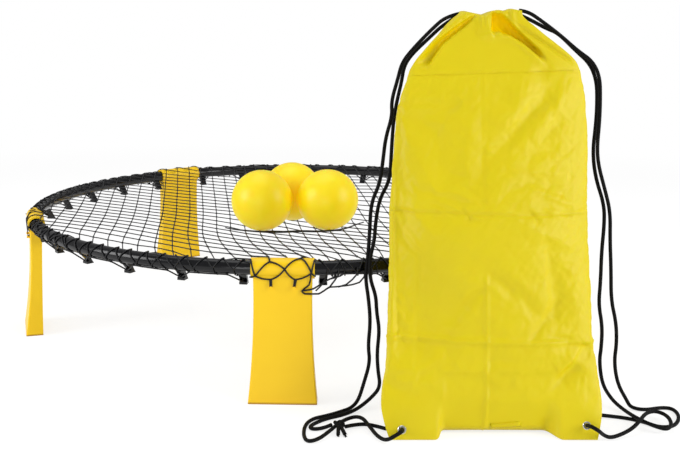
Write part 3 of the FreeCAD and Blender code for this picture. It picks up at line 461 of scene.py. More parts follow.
def netPoints():
    # A slanted lattice: place = i * across + j * along + start. Its places within the hoop and its
    # edge become the nodes. edges has the two nodes of each cell side, and family is 0 for a side
    # in a row and 1 for one in a column. A node with a side missing is on the border.
    value = netValues
    rng = np.random.default_rng(value["seed"])
    rows, columns = np.radians([value["rowTurn"], value["columnTurn"]])
    across = value["cellAcross"] * np.array([math.cos(rows), math.sin(rows)])
    along = value["cellAlong"] * np.array([math.cos(columns), math.sin(columns)])
    steps = np.arange(-value["cells"], value["cells"] + 1)
    i, j = np.meshgrid(steps, steps, indexing="ij")
    flat = i[..., None] * across + j[..., None] * along + value["start"]
    flat = pullNet(flat.reshape(-1, 2)).reshape(flat.shape)
    used = (np.hypot(flat[..., 0], flat[..., 1]) < value["reach"]) & ~onFrontSleeve(flat)
    number = np.full(used.shape, -1)
    number[used] = np.arange(used.sum())
    nodes = flat[used]
    edges, family = [], []
    for kind, (a, b) in enumerate(((np.s_[:-1, :], np.s_[1:, :]), (np.s_[:, :-1], np.s_[:, 1:]))):
        both = used[a] & used[b]
        edges.append(np.stack([number[a][both], number[b][both]], 1))
        family.append(np.full(both.sum(), kind))
    edges, family = np.concatenate(edges), np.concatenate(family)
    links = np.bincount(edges.ravel(), minlength=len(nodes))
    border = (links < 4) & (np.hypot(nodes[:, 0], nodes[:, 1]) > hoop["radius"])
    stopped = (links < 4) & ~border
    x, y = nodes.T
    beyond = smooth(*creaseValues["heldEnds"], np.abs(x - creaseValues["middle"]))
    creased = np.abs(creaseOffset(x, y)) + 0.3 * beyond < creaseValues["held"]
    nodes = nodes + rng.normal(0, value["uneven"], nodes.shape)
    return nodes, edges, family, border, stopped, creased


def wrap(flat):
    # The lattice in space: a level middle, a straight slope, then over the tube and down outside
    value = netValues
    away = np.hypot(flat[:, 0], flat[:, 1])
    edge, tube = hoop["radius"] - value["edge"], hoop["tube"] + value["overTube"]
    angle = math.pi / 2 + value["topTurn"] - np.maximum(0, away - edge) / tube
    onTube = away > edge
    newAway = np.where(onTube, hoop["radius"] + tube * np.cos(angle), away)
    rim = hoop["height"] + tube * math.sin(value["rimTurn"])
    slope = softly(away - value["flatReach"], value["slopeBend"]) / (edge - value["flatReach"])
    dish = value["flatHeight"] + (rim - value["flatHeight"]) * np.minimum(1, slope)
    height = np.where(onTube, hoop["height"] + tube * np.sin(angle), dish)
    return np.stack([flat[:, 0] / away * newAway, flat[:, 1] / away * newAway, height], 1)


def heldPlaces(nodes, border):
    # The border's knots go to the nearest hook or peg, or lie against the tube between two of them:
    # underneath beside a hook, and up to the outer side halfway to the next
    value, anchors = netValues, anchorPlaces()
    angle = np.degrees(np.arctan2(nodes[:, 1], nodes[:, 0]))
    gap = (angle[:, None] - anchors[:, 0] + 180) % 360 - 180
    nearest = np.abs(gap).argmin(1)
    off = gap[np.arange(len(nodes)), nearest]
    caught = border & (np.abs(off) < value["caught"])
    target = anchors[nearest]
    spot = np.radians(np.where(caught, target[:, 0], angle - value["drawn"] * off))
    below = np.radians(value["under"] + value["rise"] * np.clip(np.abs(off) / value["halfway"], 0, 1))
    tube = hoop["tube"] + value["underGap"]
    away = np.where(caught, target[:, 1], hoop["radius"] + tube * np.cos(below))
    height = np.where(caught, target[:, 2], hoop["height"] + tube * np.sin(below))
    return np.stack([np.cos(spot) * away, np.sin(spot) * away, height], 1)


def relaxNet():
    # Each side of a cell is divided, so that it can bend over the tube. Then every free point goes
    # again and again to the middle of its neighbours, and out of the tube, the legs and the balls.
    nodes, edges, family, border, stopped, creased = netPoints()
    points = wrap(nodes)
    points[border] = heldPlaces(nodes, border)[border]
    parts, gap = netValues["parts"], netValues["gap"]
    share = (np.arange(1, parts) / parts)[None, :, None]
    first, last = edges.T
    inner = wrap((nodes[first, None] * (1 - share) + nodes[last, None] * share).reshape(-1, 2))
    straight = (points[first, None] * (1 - share) + points[last, None] * share).reshape(-1, 3)
    near = np.repeat(border[edges].any(1), parts - 1)
    inner[near] = straight[near]
    everything = np.concatenate([points, inner])
    between = len(points) + np.arange(len(edges))[:, None] * (parts - 1) + np.arange(parts - 1)
    strands = np.concatenate([edges[:, :1], between, edges[:, 1:]], 1)
    pairs = np.stack([strands[:, :-1].ravel(), strands[:, 1:].ravel()], 1)
    both = np.concatenate([pairs, pairs[:, ::-1]])
    weight = np.bincount(both[:, 0], minlength=len(everything))[:, None]
    fixed = np.zeros(len(everything), bool)
    fixed[:len(points)] = border | stopped | creased
    pressed = np.flatnonzero(creased)
    everything[pressed] = pushOut(everything[pressed], gap)
    for turn in range(netValues["rounds"]):
        total = [np.bincount(both[:, 0], everything[both[:, 1], axis], len(everything)) for axis in range(3)]
        moved = pushOut(np.stack(total, 1) / weight, gap)
        everything = np.where(fixed[:, None], everything, moved)
    return everything, everything[:len(points)], strands, family, border, stopped


def knottedTwine():
    # Knotted polyethylene twine: two yarns twisted together, near black, with a waxy dull shine
    material, tree, surface = startMaterial("twistedPolyethyleneTwine", Roughness=0.5, IOR=1.51,
                                            Specular_IOR_Level=0.35)
    place = addNode(tree, "ShaderNodeUVMap")
    stripes = addNode(tree, "ShaderNodeTexWave", wave_type="BANDS", bands_direction="DIAGONAL",
                      Scale=1.0, Distortion=0.4)
    stretch = addNode(tree, "ShaderNodeMapping", [(place, 0)])
    stretch.inputs["Scale"].default_value = (1.0, 230.0, 1.0)
    tree.links.new(stretch.outputs[0], stripes.inputs["Vector"])
    tint = addNode(tree, "ShaderNodeValToRGB", [(stripes, "Fac")], ("#060607", "#17171b"))
    bump = addNode(tree, "ShaderNodeBump", [(stripes, "Height")], Strength=0.5, Distance=0.0003)
    tree.links.new(tint.outputs[0], surface.inputs["Base Color"])
    tree.links.new(bump.outputs[0], surface.inputs["Normal"])
    return material


def dressTwine(piece, twine):
    piece.data.materials.append(twine)
    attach(piece, "ring")


def knotBalls(places, radius):
    # A small knot at each node: a six-sided tube of five rings, widest in its middle, on a short
    # line that stands nearly upright
    line = np.array([-1.0, -0.5, 0.0, 0.5, 1.0])[None, :, None] * [0.0008, 0.0003, radius * 0.8]
    radii = np.tile(radius * np.array([0.45, 0.9, 1.0, 0.9, 0.45]), (len(places), 1))
    return tubeArrays(places[:, None] + line, radii, 6)


# The net's edge wraps the tube in a chain of diamonds, away from the legs: its upper knots lie on the
# tube's top, its lower ones on the outside, and a short end leads from each of these underneath.
# All angles are degrees: along the hoop, or about the tube from its outer side upwards.
edgeTwine = {"pitch": 3.75, "wander": (0.5, 0.6), "top": 104, "low": -14, "lowWander": (-16, 22),
             "under": -86, "endSlant": 0.5, "sag": 0.35, "twine": 0.00092, "knot": 0.00155,
             "knotShare": 0.05, "gap": 0.0011, "offLeg": 6.6, "steps": 11, "seed": 11}


def makeEdgeTwine(twine):
    # Each strand goes from one place on the tube to another: its angle about the tube grows evenly,
    # and its angle along the hoop as share ^ (1 + sag), so that it hangs before it turns
    value = edgeTwine
    step = 360 / hoop["legs"]
    count = round((step - 2 * value["offLeg"]) / value["pitch"])
    width = (step - 2 * value["offLeg"]) / count
    rng = np.random.default_rng(value["seed"])
    legs = hoop["frontLeg"] + step * np.arange(hoop["legs"])[:, None]
    high = legs + value["offLeg"] + width * np.arange(count + 1)
    highWander, lowWander = value["wander"]
    high = high + rng.uniform(-highWander, highWander, high.shape)
    low = (high[:, :-1] + high[:, 1:]) / 2 + rng.uniform(-lowWander, lowWander, (hoop["legs"], count))
    lowTurn = value["low"] + rng.uniform(*value["lowWander"], low.shape)
    ends = [(high[:, :-1], value["top"], low, lowTurn), (high[:, 1:], value["top"], low, lowTurn),
            (low, lowTurn, low + value["endSlant"], value["under"])]
    share = np.linspace(0, 1, value["steps"])
    lines = []
    for startAngle, startTurn, endAngle, endTurn in ends:
        bend = share ** (1 + value["sag"])
        angle = np.radians(startAngle[..., None] + (endAngle - startAngle)[..., None] * bend)
        turn = np.broadcast_to(startTurn, low.shape)[..., None] * (1 - share)
        turn = np.radians(turn + np.broadcast_to(endTurn, low.shape)[..., None] * share)
        reach = hoop["radius"] + (hoop["tube"] + value["gap"]) * np.cos(turn)
        height = hoop["height"] + (hoop["tube"] + value["gap"]) * np.sin(turn)
        line = np.stack([np.cos(angle) * reach, np.sin(angle) * reach, height], -1)
        lines.append(line.reshape(-1, value["steps"], 3))
    lines = np.concatenate(lines) + floorPoint
    # A strand is thicker at its ends, where it is knotted to the next ones
    swell = np.exp(-(np.minimum(share, 1 - share) / value["knotShare"]) ** 2)
    radii = value["twine"] + (value["knot"] - value["twine"]) * swell
    dressTwine(tubePiece("net_edge", lines, np.tile(radii, (len(lines), 1)), 6), twine)


def makeBorderCord(knots, twine):
    # The border cord runs through the outer knots and the hooks, in order round the hoop. It is left
    # out over the sleeves, and around the front one, where it hangs loose.
    anchors = anchorPlaces()
    spots = np.radians(anchors[:, 0])
    hooks = np.stack([np.cos(spots) * anchors[:, 1], np.sin(spots) * anchors[:, 1], anchors[:, 2]], 1)
    rim = np.concatenate([knots, hooks])
    order = np.argsort(np.arctan2(rim[:, 1], rim[:, 0]))
    line = np.concatenate([rim[order], rim[order[:1]]])
    line = line[np.concatenate([[True], np.linalg.norm(np.diff(line, axis=0), axis=1) > 0.002])]
    share = np.linspace(0, 1, 5)[None, :, None]
    paths = line[:-1, None] * (1 - share) + line[1:, None] * share
    middle = np.degrees(np.arctan2(paths[:, 2, 1], paths[:, 2, 0]))
    step = 360 / hoop["legs"]
    offLeg = (middle - hoop["frontLeg"] + step / 2) % step - step / 2
    atFront = np.abs(middle - hoop["frontLeg"]) < step / 2
    left, right = netValues["bareFront"]
    bare = (np.abs(offLeg) < netValues["bareLeg"]) | (atFront & (offLeg > left) & (offLeg < right))
    paths = paths[~bare]
    paths = pushOut(paths.reshape(-1, 3), netValues["borderGap"]).reshape(paths.shape) + floorPoint
    radii = np.full(paths.shape[:2], netValues["twine"] * netValues["border"])
    dressTwine(tubePiece("net_border", paths, radii, 6), twine)


def makeCrease(twine):
    # Its line runs through the points, evened out over five steps, and is thickest in the middle:
    # radius * (0.5 + 0.5 sin(pi * share))
    value = creaseValues
    bend = np.array(value["points"])
    at = np.linspace(bend[0, 0], bend[-1, 0], value["steps"])
    line = np.stack([at, np.interp(at, bend[:, 0], bend[:, 1]), value["height"] + 0 * at], 1)
    line[2:-2, 1] = (line[:-4, 1] + line[1:-3, 1] + line[2:-2, 1] + line[3:-1, 1] + line[4:, 1]) / 5
    line = pushOut(line, netValues["borderGap"]) + floorPoint
    radii = value["twine"] * (0.5 + 0.5 * np.sin(np.pi * np.linspace(0, 1, value["steps"])))
    dressTwine(tubePiece("net_crease", line[None], radii[None], 6), twine)


def makeNet():
    everything, nodes, strands, family, border, stopped = relaxNet()
    twine = knottedTwine()
    for kind, name in enumerate(("net_rows", "net_columns")):
        paths = everything[strands[family == kind]] + floorPoint
        piece = tubePiece(name, paths, np.full(paths.shape[:2], netValues["twine"]), netValues["sides"])
        dressTwine(piece, twine)
        if kind == 0:
            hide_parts("net")
    dressTwine(buildMesh("net_knots", *knotBalls(nodes + floorPoint, netValues["knot"])), twine)
    makeBorderCord(nodes[border], twine)
    makeSleeveTwine(nodes[stopped], twine)
    makeEdgeTwine(twine)
    makeCrease(twine)


# Twine on the front leg's sleeve: knots as (millimetres to the right, degrees about the tube from
# the front upwards), and the loose border right of it, as (to the right of the hoop's axis, height)
sleeveTwine = {
    "knots": [(-36.8, -33), (-17.1, 46.7), (3, 8), (24.6, 75), (38.8, -11), (-15.9, -58), (17.2, -58),
              (-43, 62), (-20, 108), (5, 112), (30, 112), (43, 62), (-44.5, -40), (44.5, -30)],
    "strands": [(7, 0, -5), (0, 1, 9), (1, 2, 6), (2, 3, 9), (3, 4, 8), (0, 5, -7), (5, 2, -8),
                (2, 6, -8), (6, 4, -7), (1, 8, 0), (3, 10, 0), (4, 11, 5), (0, 12, -3), (4, 13, -4)],
    "tops": (7, 12), "topTurn": (0, 14, 14, 14, 0), "stems": ((5, -1), (6, 1)), "stemGap": 0.001,
    "reach": 0.0153, "face": 0.4612, "twine": 0.0012, "steps": 13, "hangs": -0.4626,
    "border": [
        ((20.9, 184.4), (20.5, 173.3), (18.4, 164.4), (8, 156.6), (23.1, 159.5), (33.9, 165.3),
         (46.8, 171.7), (59.7, 176), (65.7, 179.5), (67.1, 188.8)),
        ((8.9, 155.4), (12.8, 153.2), (21, 152.3), (31.8, 152.5), (38.7, 156.3), (46.9, 161), (53.3, 170),
         (57.5, 177.7), (58.7, 186.6)),
        ((42.6, 158.6), (46.9, 160.8), (57.7, 161), (66.3, 162.2), (77.1, 164.4), (86.7, 167.1),
         (92.5, 174.4), (94, 186.6)),
        ((27.5, 157.2), (35, 164.4), (39.9, 171.5), (42.5, 177.7), (43.7, 186.6)),
        ((57.7, 160.8), (68.4, 164.4), (77, 171.1), (82.5, 177.7), (84.3, 187.7))]}


def onSleeve(sideways, angle):
    # A place on the front sleeve. The sleeve's own line is straight, so its reach stays the same, and
    # below the front the twine lies on the leg's flat face.
    out = hoop["sleeveRadius"] + sleeveTwine["reach"] * np.cos(np.radians(angle))
    out = np.where(angle < 0, np.maximum(out, sleeveTwine["face"]), out)
    high = hoop["height"] + sleeveTwine["reach"] * np.sin(np.radians(angle))
    flat = out[..., None] * frontAhead + sideways[..., None] / 1000 * frontRight
    return np.concatenate([flat, high[..., None]], -1)


def sleeveStrands(stopped):
    # A strand over the sleeve runs straight between two knots in the unrolled sleeve, plus a bow:
    # angle + bow * sin(pi * share)
    value = sleeveTwine
    knots = np.array(value["knots"], float)
    strands = np.array(value["strands"], float)
    first, second = knots[strands[:, 0].astype(int)], knots[strands[:, 1].astype(int)]
    share = np.linspace(0, 1, value["steps"])
    near, far = (1 - share)[None, :, None], share[None, :, None]
    both = first[:, None] * near + second[:, None] * far
    paths = [onSleeve(both[..., 0], both[..., 1] + strands[:, 2, None] * np.sin(np.pi * share))]
    # The net's cut strands go up to the nearest knot on the sleeve's top
    tops = knots[slice(*value["tops"])]
    places = onSleeve(tops[:, 0], tops[:, 1] + value["topTurn"])
    nearest = np.linalg.norm(stopped[:, None] - places, axis=2).argmin(1)
    paths.append(stopped[:, None] * near + places[nearest][:, None] * far)
    # Doubled stems hang from the two low knots to the leg's pegs
    for knot, side in value["stems"]:
        top = onSleeve(knots[knot, 0:1], knots[knot, 1:2])
        peg = netValues["pegReach"] * frontAhead + side * netValues["pegSpread"] * frontRight
        end = np.append(peg, netValues["pegHeight"])
        for gap in (-value["stemGap"], value["stemGap"]):
            paths.append((top[:, None] + [gap, 0, 0]) * near + (end + [gap, -0.0006, 0]) * far)
    return np.concatenate(paths)


def looseBorder():
    # Slack lengths of the edge: through their points with a slight stop at each, in front of the tube
    # beside the sleeve and nearer to the viewer over the sleeve itself
    lines = []
    for line in sleeveTwine["border"]:
        line = np.array(line, float) / 1000
        at = np.interp(np.linspace(0, 1, 25), np.linspace(0, 1, len(line)), np.arange(len(line)))
        low = np.clip(at.astype(int), 0, len(line) - 2)
        run = line[low] + (line[low + 1] - line[low]) * smooth(0, 1, at - low)[:, None] * 0.35
        run = run + (line[low + 1] - line[low]) * (at - low)[:, None] * 0.65
        depth = sleeveTwine["hangs"] - 0.0012 * np.sin(at * 2) + 0.006 * smooth(0.027, 0.045, run[:, 0])
        lines.append(np.stack([run[:, 0], depth, run[:, 1]], 1))
    return pushOut(np.concatenate(lines), netValues["borderGap"]).reshape(len(lines), -1, 3)


def makeSleeveTwine(stopped, twine):
    for name, paths in (("net_on_sleeve", sleeveStrands(stopped)), ("net_loose_border", looseBorder())):
        radii = np.full(paths.shape[:2], sleeveTwine["twine"])
        dressTwine(tubePiece(name, paths + floorPoint, radii, 6), twine)


makeNet()
print("net knotted")


# Balls: soft inflated PVC, thin and even, with a low gloss, a hint of light coming through, and a painted
# orange glow
def inflatedVinyl():
    material, tree, surface = startMaterial("inflatedVinylSkin", Roughness=0.4, IOR=1.53,
                                            Specular_IOR_Level=0.4, Subsurface_Weight=0.9)
    tint = softTints(tree, 22.0, 2.0, ("#ffe714", "#fde00e"))[1]
    tree.links.new(tint.outputs[0], surface.inputs["Base Color"])
    fineGrain(tree, surface, 900.0, 2.0, 0.08)
    surface.inputs["Subsurface Radius"].default_value = (0.050, 0.024, 0.001)
    # Painted light: the skin glows a weak, even orange, though it is no lamp, standing in for light from the
    # floor and from behind that reaches its underside through the thin skin
    surface.inputs["Emission Color"].default_value = linear("#ffb400")
    surface.inputs["Emission Strength"].default_value = 0.14
    return material


def makeBalls():
    # A ball by latitude and longitude. A faint moulding line runs round its middle, and the skin dips
    # a little at its valve: radius * (1 - depth * exp(-(angle from the line or valve / width) squared))
    value = ballValues
    vinyl = inflatedVinyl()
    rows, columns = value["rows"], value["columns"]
    low = np.linspace(0, np.pi, rows + 1)[:, None]
    turn = np.linspace(0, 2 * np.pi, columns, endpoint=False)[None]
    (seam, seamWide), (dip, dipWide) = value["seam"], value["dip"]
    radius = value["radius"] * (1 - seam * np.exp(-((low - np.pi / 2) / seamWide) ** 2)
                                - dip * np.exp(-(low / dipWide) ** 2))
    shape = np.stack([radius * np.sin(low) * np.cos(turn), radius * np.sin(low) * np.sin(turn),
                      radius * np.cos(low) + 0 * turn], -1).reshape(-1, 3)
    number = np.arange((rows + 1) * columns).reshape(rows + 1, columns)
    after = np.roll(number, -1, 1)
    faces = np.stack([number[:-1], number[1:], after[1:], after[:-1]], -1).reshape(-1, 4)
    tilt = np.radians(value["tilt"])
    tip = np.array([[np.cos(tilt), 0, np.sin(tilt)], [0, 1, 0], [-np.sin(tilt), 0, np.cos(tilt)]])
    for ball, ((x, y), spin) in enumerate(zip(value["places"], np.radians(value["spins"])), 1):
        swing = np.array([[np.cos(spin), -np.sin(spin), 0], [np.sin(spin), np.cos(spin), 0], [0, 0, 1]])
        points = shape @ (swing @ tip).T + floorPoint + [x, y, value["high"]]
        piece = buildMesh("ball_skin_%d" % ball, points, faces)
        closeSeams(piece)
        piece.data.materials.append(vinyl)
        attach(piece, "ball_%d" % ball)
        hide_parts("ball_%d" % ball)


makeBalls()
print("balls blown up")


# Legs: injection-moulded ABS, an orange yellow with a satin skin and a barely seen grain. The edge colour is
# painted shade at the foot's bottom, fading out between the two heights in metres that follow it.
legLook = {"base": "#fed311", "deep": "#f8c90b", "edge": "#a8760c",
           "paintedFootShade": (0.0006, 0.0034), "roughness": 0.42}


def mouldedAbs():
    material, tree, surface = startMaterial("mouldedAbs", Roughness=legLook["roughness"], IOR=1.54,
                                            Specular_IOR_Level=0.3)
    # Painted shade: the foot's lowest edge is darkened over its last few millimetres, standing in for the
    # shadow where it meets the floor
    place = addNode(tree, "ShaderNodeTexCoord")
    high = addNode(tree, "ShaderNodeSeparateXYZ", [(place.outputs["Object"], 0)])
    aboveFootShade = addNode(tree, "ShaderNodeMapRange", [(high.outputs[2], 0)])
    aboveFootShade.inputs[1].default_value, aboveFootShade.inputs[2].default_value = legLook["paintedFootShade"]
    flow = softTints(tree, 14.0, 3.0, (legLook["base"], legLook["deep"]))[1]
    rim = addNode(tree, "ShaderNodeMix", [(aboveFootShade, 0)], data_type="RGBA")
    rim.inputs[6].default_value = linear(legLook["edge"])
    tree.links.new(flow.outputs[0], rim.inputs[7])
    tree.links.new(rim.outputs[2], surface.inputs["Base Color"])
    fineGrain(tree, surface, 1400.0, 2.0, 0.12)
    return material


# Hoop: moulded polypropylene, near black and satin, its gloss uneven in soft spots
def satinPolypropylene():
    material, tree, surface = startMaterial("satinPolypropylene", Roughness=0.17, IOR=1.49,
                                            Specular_IOR_Level=0.36)
    cloud, tint = softTints(tree, 60.0, 5.0, ("#030305", "#090a0f"))
    tree.links.new(tint.outputs[0], surface.inputs["Base Color"])
    rough = addNode(tree, "ShaderNodeMapRange", [(cloud, 0)])
    rough.inputs[3].default_value, rough.inputs[4].default_value = 0.12, 0.22
    tree.links.new(rough.outputs[0], surface.inputs["Roughness"])
    fineGrain(tree, surface, 700.0, 3.0, 0.1)
    return material


def platedSteel():
    # Pressed steel with nickel plating: bright, and a little darker in spots
    material, tree, surface = startMaterial("nickelPlatedSteel", Metallic=1.0, Roughness=0.25)
    tint = softTints(tree, 500.0, 3.0, ("#b4b4b2", "#dcdcd8"))[1]
    tree.links.new(tint.outputs[0], surface.inputs["Base Color"])
    return material


def valveRubber():
    # Soft PVC, moulded: matt, and a shade darker than the ball's skin
    material, tree, surface = startMaterial("softPvcValve", Roughness=0.6, IOR=1.53)
    tint = softTints(tree, 300.0, 2.0, ("#e2b81c", "#d0a616"))[1]
    tree.links.new(tint.outputs[0], surface.inputs["Base Color"])
    return material


def dressNodes():
    steel = platedSteel()
    finishes = {"leg_": mouldedAbs(), "ring_section_": satinPolypropylene(), "eyelet_": steel,
                "washer_": steel, "ball_valve_": valveRubber()}
    for name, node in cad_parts.items():
        for start, material in finishes.items():
            if name.startswith(start):
                node.data.materials.clear()
                node.data.materials.append(material)


dressNodes()
print("plastics and metal dressed")


# Bag: one skin of thin woven nylon, sewn flat, drawn shut at the mouth and leaning on the hoop.
# Places on it are (across from its middle, height) in millimetres on the plane of its front. The
# outline is (height, left side, right side), and setback and thick are (height, depth). A gather is
# its depth, the place and width of its spread, and the place and width of its folds.
bagValues = {
    "middle": 0.250, "front": -0.527, "lean": 0.3678, "columns": 84, "rows": 132,
    "bottomRows": 8, "topRows": 12, "mouthTurn": 165.0, "crown": 12.0,
    "outline": [(0, -128, 130), (10, -132, 133), (24, -136, 136), (38, -139, 138.5), (52, -138, 139.5),
                (80, -132, 137), (122, -129, 133), (179, -126, 134.5), (222, -124.5, 133.5), (266, -124, 134),
                (325, -119, 137), (355, -116.5, 138.5), (385, -113.5, 138), (400, -111, 137.5),
                (415, -107, 137), (430, -101, 134.5), (446, -96, 131.5), (457, -89, 127.5),
                (463, -85, 122.5), (474, -75, 110), (484, -66, 97.5), (494, -56, 84.5), (505, -47, 72),
                (512, -40, 63), (516, -35, 58.5), (520, -29, 57.5), (527, -25, 57)],
    "top": [(-60, 520), (-36, 523), (-22, 524.5), (-8, 522), (5, 519.5), (14, 523.5), (26, 526), (33, 524.5),
            (42, 527.5), (53, 525.5), (80, 523)],
    "setback": [(0, 21), (21, 11), (47, 2), (80, 0), (430, 1), (461, 2), (493, 5), (524, 8)],
    "thick": [(0, 30), (21, 44), (47, 62), (105, 80), (185, 89), (288, 79), (377, 66), (430, 56), (461, 48),
              (493, 38), (524, 27)],
    "halfWide": 134, "mouth": (-27, 57), "hem": 8.0, "floorGap": 0.9, "footRound": 12, "flapRound": 1.6,
    "flapLeft": (61, 68), "flapRight": (69, 87), "flapTall": (40, 84), "flapThick": 2.6, "seam": 0.84,
    "frontSides": (5.0, 9.0), "backSides": (2.1, 9.5),
    "gathers": [(1.8, 5, 9, -1, 6.4), (2.2, 36, 12, 27, 11.5), (1.4, -24, 9, -24, 13)]}
# Cloth simulation of the skin: how many rounds, how much larger the cloth is than its shape as a
# share, how far a point may move in metres, and the held sides as (height, across) in millimetres
clothValues = {
    "rounds": 18, "extra": 0.016, "cap": 0.0055, "pressure": 0.4,
    "sides": [(0, 136), (50, 138), (122, 131), (385, 126), (430, 116), (461, 102)],
    "settings": {"quality": 6, "mass": 0.08, "tension_stiffness": 20, "compression_stiffness": 20,
                 "shear_stiffness": 8, "bending_stiffness": 0.12, "air_damping": 3}}

# Folds in the front: two ends (across, height), depth in mm (less than 0 stands forward), then the
# width in mm on the left or upper side and on the other side, and how softly the ends run out
bagFolds = [
    ((-14, 526), (-92, 463), -6.5, 10.0, 9.0, 10),   # the rolled hem itself
    ((88, 452), (70, 440), 3.0, 8.0, 8.0, 8),        # where the recess beside the pleat runs out
    ((48, 507), (119, 459), 3.2, 2.0, 2.6, 4),       # the hem's fold on the right shoulder
    ((62, 507), (124, 466), -4.0, 8.0, 7.0, 8),
    ((94, 428), (14, 342), 4.5, 13.0, 11.0, 26),     # long soft valley below the right shoulder
    ((62, 446), (24, 372), -3.5, 15.0, 15.0, 26),
    ((112, 430), (66, 360), -3.0, 12.0, 12.0, 26),
    ((-22, 430), (-24, 306), -1.3, 8.0, 16.0, 36),   # soft upright fold
    ((-4, 400), (-6, 300), 1.8, 10.0, 12.0, 26),
    ((-66, 430), (-60, 250), 2.6, 15.0, 22.0, 50),
    ((-100, 430), (-104, 280), -2.0, 14.0, 14.0, 40),
    ((-30, 306), (-4, 281), 2.6, 2.5, 4.5, 7),       # short sharp wrinkles in the middle
    ((-44, 300), (-14, 286), -1.8, 4.0, 4.0, 9),
    ((-50, 270), (-10, 262), 2.0, 2.5, 5.0, 9),
    ((-62, 286), (-30, 276), -1.6, 4.0, 4.0, 10),
    ((18, 284), (66, 262), 2.0, 4.0, 7.0, 14),
    ((60, 302), (104, 282), -1.9, 5.0, 6.0, 14),
    ((36, 262), (84, 240), -1.6, 8.0, 8.0, 18),
    ((-122, 266), (-94, 226), 3.0, 5.0, 8.0, 14),
    ((-108, 250), (-84, 222), -2.0, 6.0, 6.0, 12),
    ((0, 200), (30, 168), 2.2, 7.0, 8.0, 14),
    ((20, 206), (46, 180), -1.6, 8.0, 8.0, 14),
    ((-16, 176), (-48, 142), 1.8, 7.0, 7.0, 14),
    ((86, 158), (58, 128), 1.6, 7.0, 9.0, 14),
    ((-118, 420), (-114, 150), -2.2, 6.0, 8.0, 30),  # bright strip beside the left seam
    ((-110, 420), (-106, 300), 1.6, 4.0, 16.0, 30),
    ((-113, 330), (-115, 100), 9.0, 5.0, 27.0, 36),  # long hollow along the left side
    ((-110, 262), (110, 262), -9.0, 62.0, 62.0, 40),  # the belly, fullest at mid-height
    ((-84, 226), (-92, 70), 4.0, 5.0, 15.0, 30),     # soft upright folds low on both sides
    ((74, 240), (88, 122), 3.5, 16.0, 6.0, 26),
    ((70, 8), (132, 50), 6.0, 13.0, 6.0, 10),        # hollow above the right flap
    ((84, 84), (132, 108), -2.5, 9.0, 7.0, 14),
    ((128, 112), (78, 60), 7.5, 4.0, 18.0, 14),      # curved dent above the right corner
    ((88, 116), (124, 108), 4.2, 5.0, 10.0, 12),
    ((98, 94), (126, 84), -3.8, 9.0, 9.0, 12),
    ((-134, 64), (-70, 34), 4.6, 9.0, 7.0, 12),      # folds towards the two lower corners
    ((40, 60), (54, 34), -1.6, 9.0, 9.0, 12),
    ((-72, 70), (-62, 20), -3.2, 10.0, 9.0, 12),
    ((-60, 104), (-100, 72), -1.6, 12.0, 12.0, 20),
    ((0, 60), (40, 54), 1.6, 8.0, 8.0, 20)]
# Creases from the folded cloth's storage and its seams: two ends, depth in mm, width in mm
bagCreases = [
    ((-128, 271), (131, 270), 2.1, 2.0), ((-133, 118), (134, 113), -3.4, 3.0),
    ((-98, 441), (126, 448), 1.3, 1.5), ((-5, 118), (-8, 6), -2.4, 1.9),
    ((-4, 196), (-5, 118), -2.0, 2.1), ((-4, 436), (-6, 271), 0.6, 2.0),
    ((-52, 121), (-28, 113), 1.2, 2.4), ((-20, 119), (4, 121), -1.0, 2.6),
    ((44, 114), (58, 121), 1.0, 2.2), ((72, 116), (98, 110), -1.0, 2.6),
    ((-96, 118), (-78, 110), 1.0, 3.0), ((-38, 282), (-22, 262), 2.2, 2.4),
    ((-66, 276), (-48, 266), -1.7, 2.6), ((50, 276), (64, 262), 1.9, 2.4),
    ((76, 274), (96, 266), -1.7, 2.8), ((-50, 180), (-20, 140), 0.7, 4.0),
    ((30, 180), (52, 132), -0.7, 4.0)]


def foldDepth(x, z, start, end, depth, above, below, soft):
    # A groove along a line: depth * exp(-(distance / width) squared), with its own width on each
    # side, fading out over the last stretch at both ends
    start, end = np.array(start, float), np.array(end, float)
    along = end - start
    length = np.hypot(*along)
    along /= length
    run = (x - start[0]) * along[0] + (z - start[1]) * along[1]
    off = -(x - start[0]) * along[1] + (z - start[1]) * along[0]
    if along[0] < 0 or (along[0] == 0 and along[1] > 0):
        off = -off
    width = np.where(off > 0, above, below)
    ends = smooth(-soft, soft, run) * (1 - smooth(length - soft, length + soft, run))
    return depth * np.exp(-(off / width) ** 2) * ends


# The two hollows behind the mouth's hem. left: the panel's slanting edge as (height, across), and how
# wide the hollow is at two heights. right: the curved ridge as (across, height), the upright edge at a
# height with its slant, and how tall the hollow is as (across, height).
bagHollows = {
    "leftEdge": [(448, -74), (457, -67), (469, -59), (480, -52), (487, -44), (499, -29), (512, -12),
                 (524, 2)],
    "leftSlant": 0.72, "leftWide": [(455, 19), (521, 6)], "leftEnds": ((450, 461), (508, 522)),
    "ridge": [(-20, 493), (8, 496), (17, 496.5), (27, 495.5), (36, 493), (45, 488.5), (55, 482), (64, 474.5),
              (73, 467), (84, 457)],
    "pleat": (15.5, 510, 0.04), "rightTall": [(14, 34), (30, 30), (48, 17), (60, 14), (84, 11)]}


def valueAt(places, at):  # places are pairs, and what lies between two of them runs straight
    return np.interp(at, *np.array(places, float).T)


def leftHollow(x, z):
    # The hollow under the left shoulder's rolled hem: it drops behind the panel's slanting edge, then
    # rises again to the left, and is wider lower down. Its share is 1 just behind the edge.
    value = bagHollows
    off = (valueAt(value["leftEdge"], z) - x) * value["leftSlant"]
    wide = valueAt(value["leftWide"], z)
    low, high = value["leftEnds"]
    ends = smooth(*low, z) * (1 - smooth(*high, z))
    return smooth(0, 1.6, off) * (1 - smooth(0.2 * wide, wide, off)) * ends


def pleatEdge(z):
    across, height, slant = bagHollows["pleat"]
    return across + (z - height) * slant


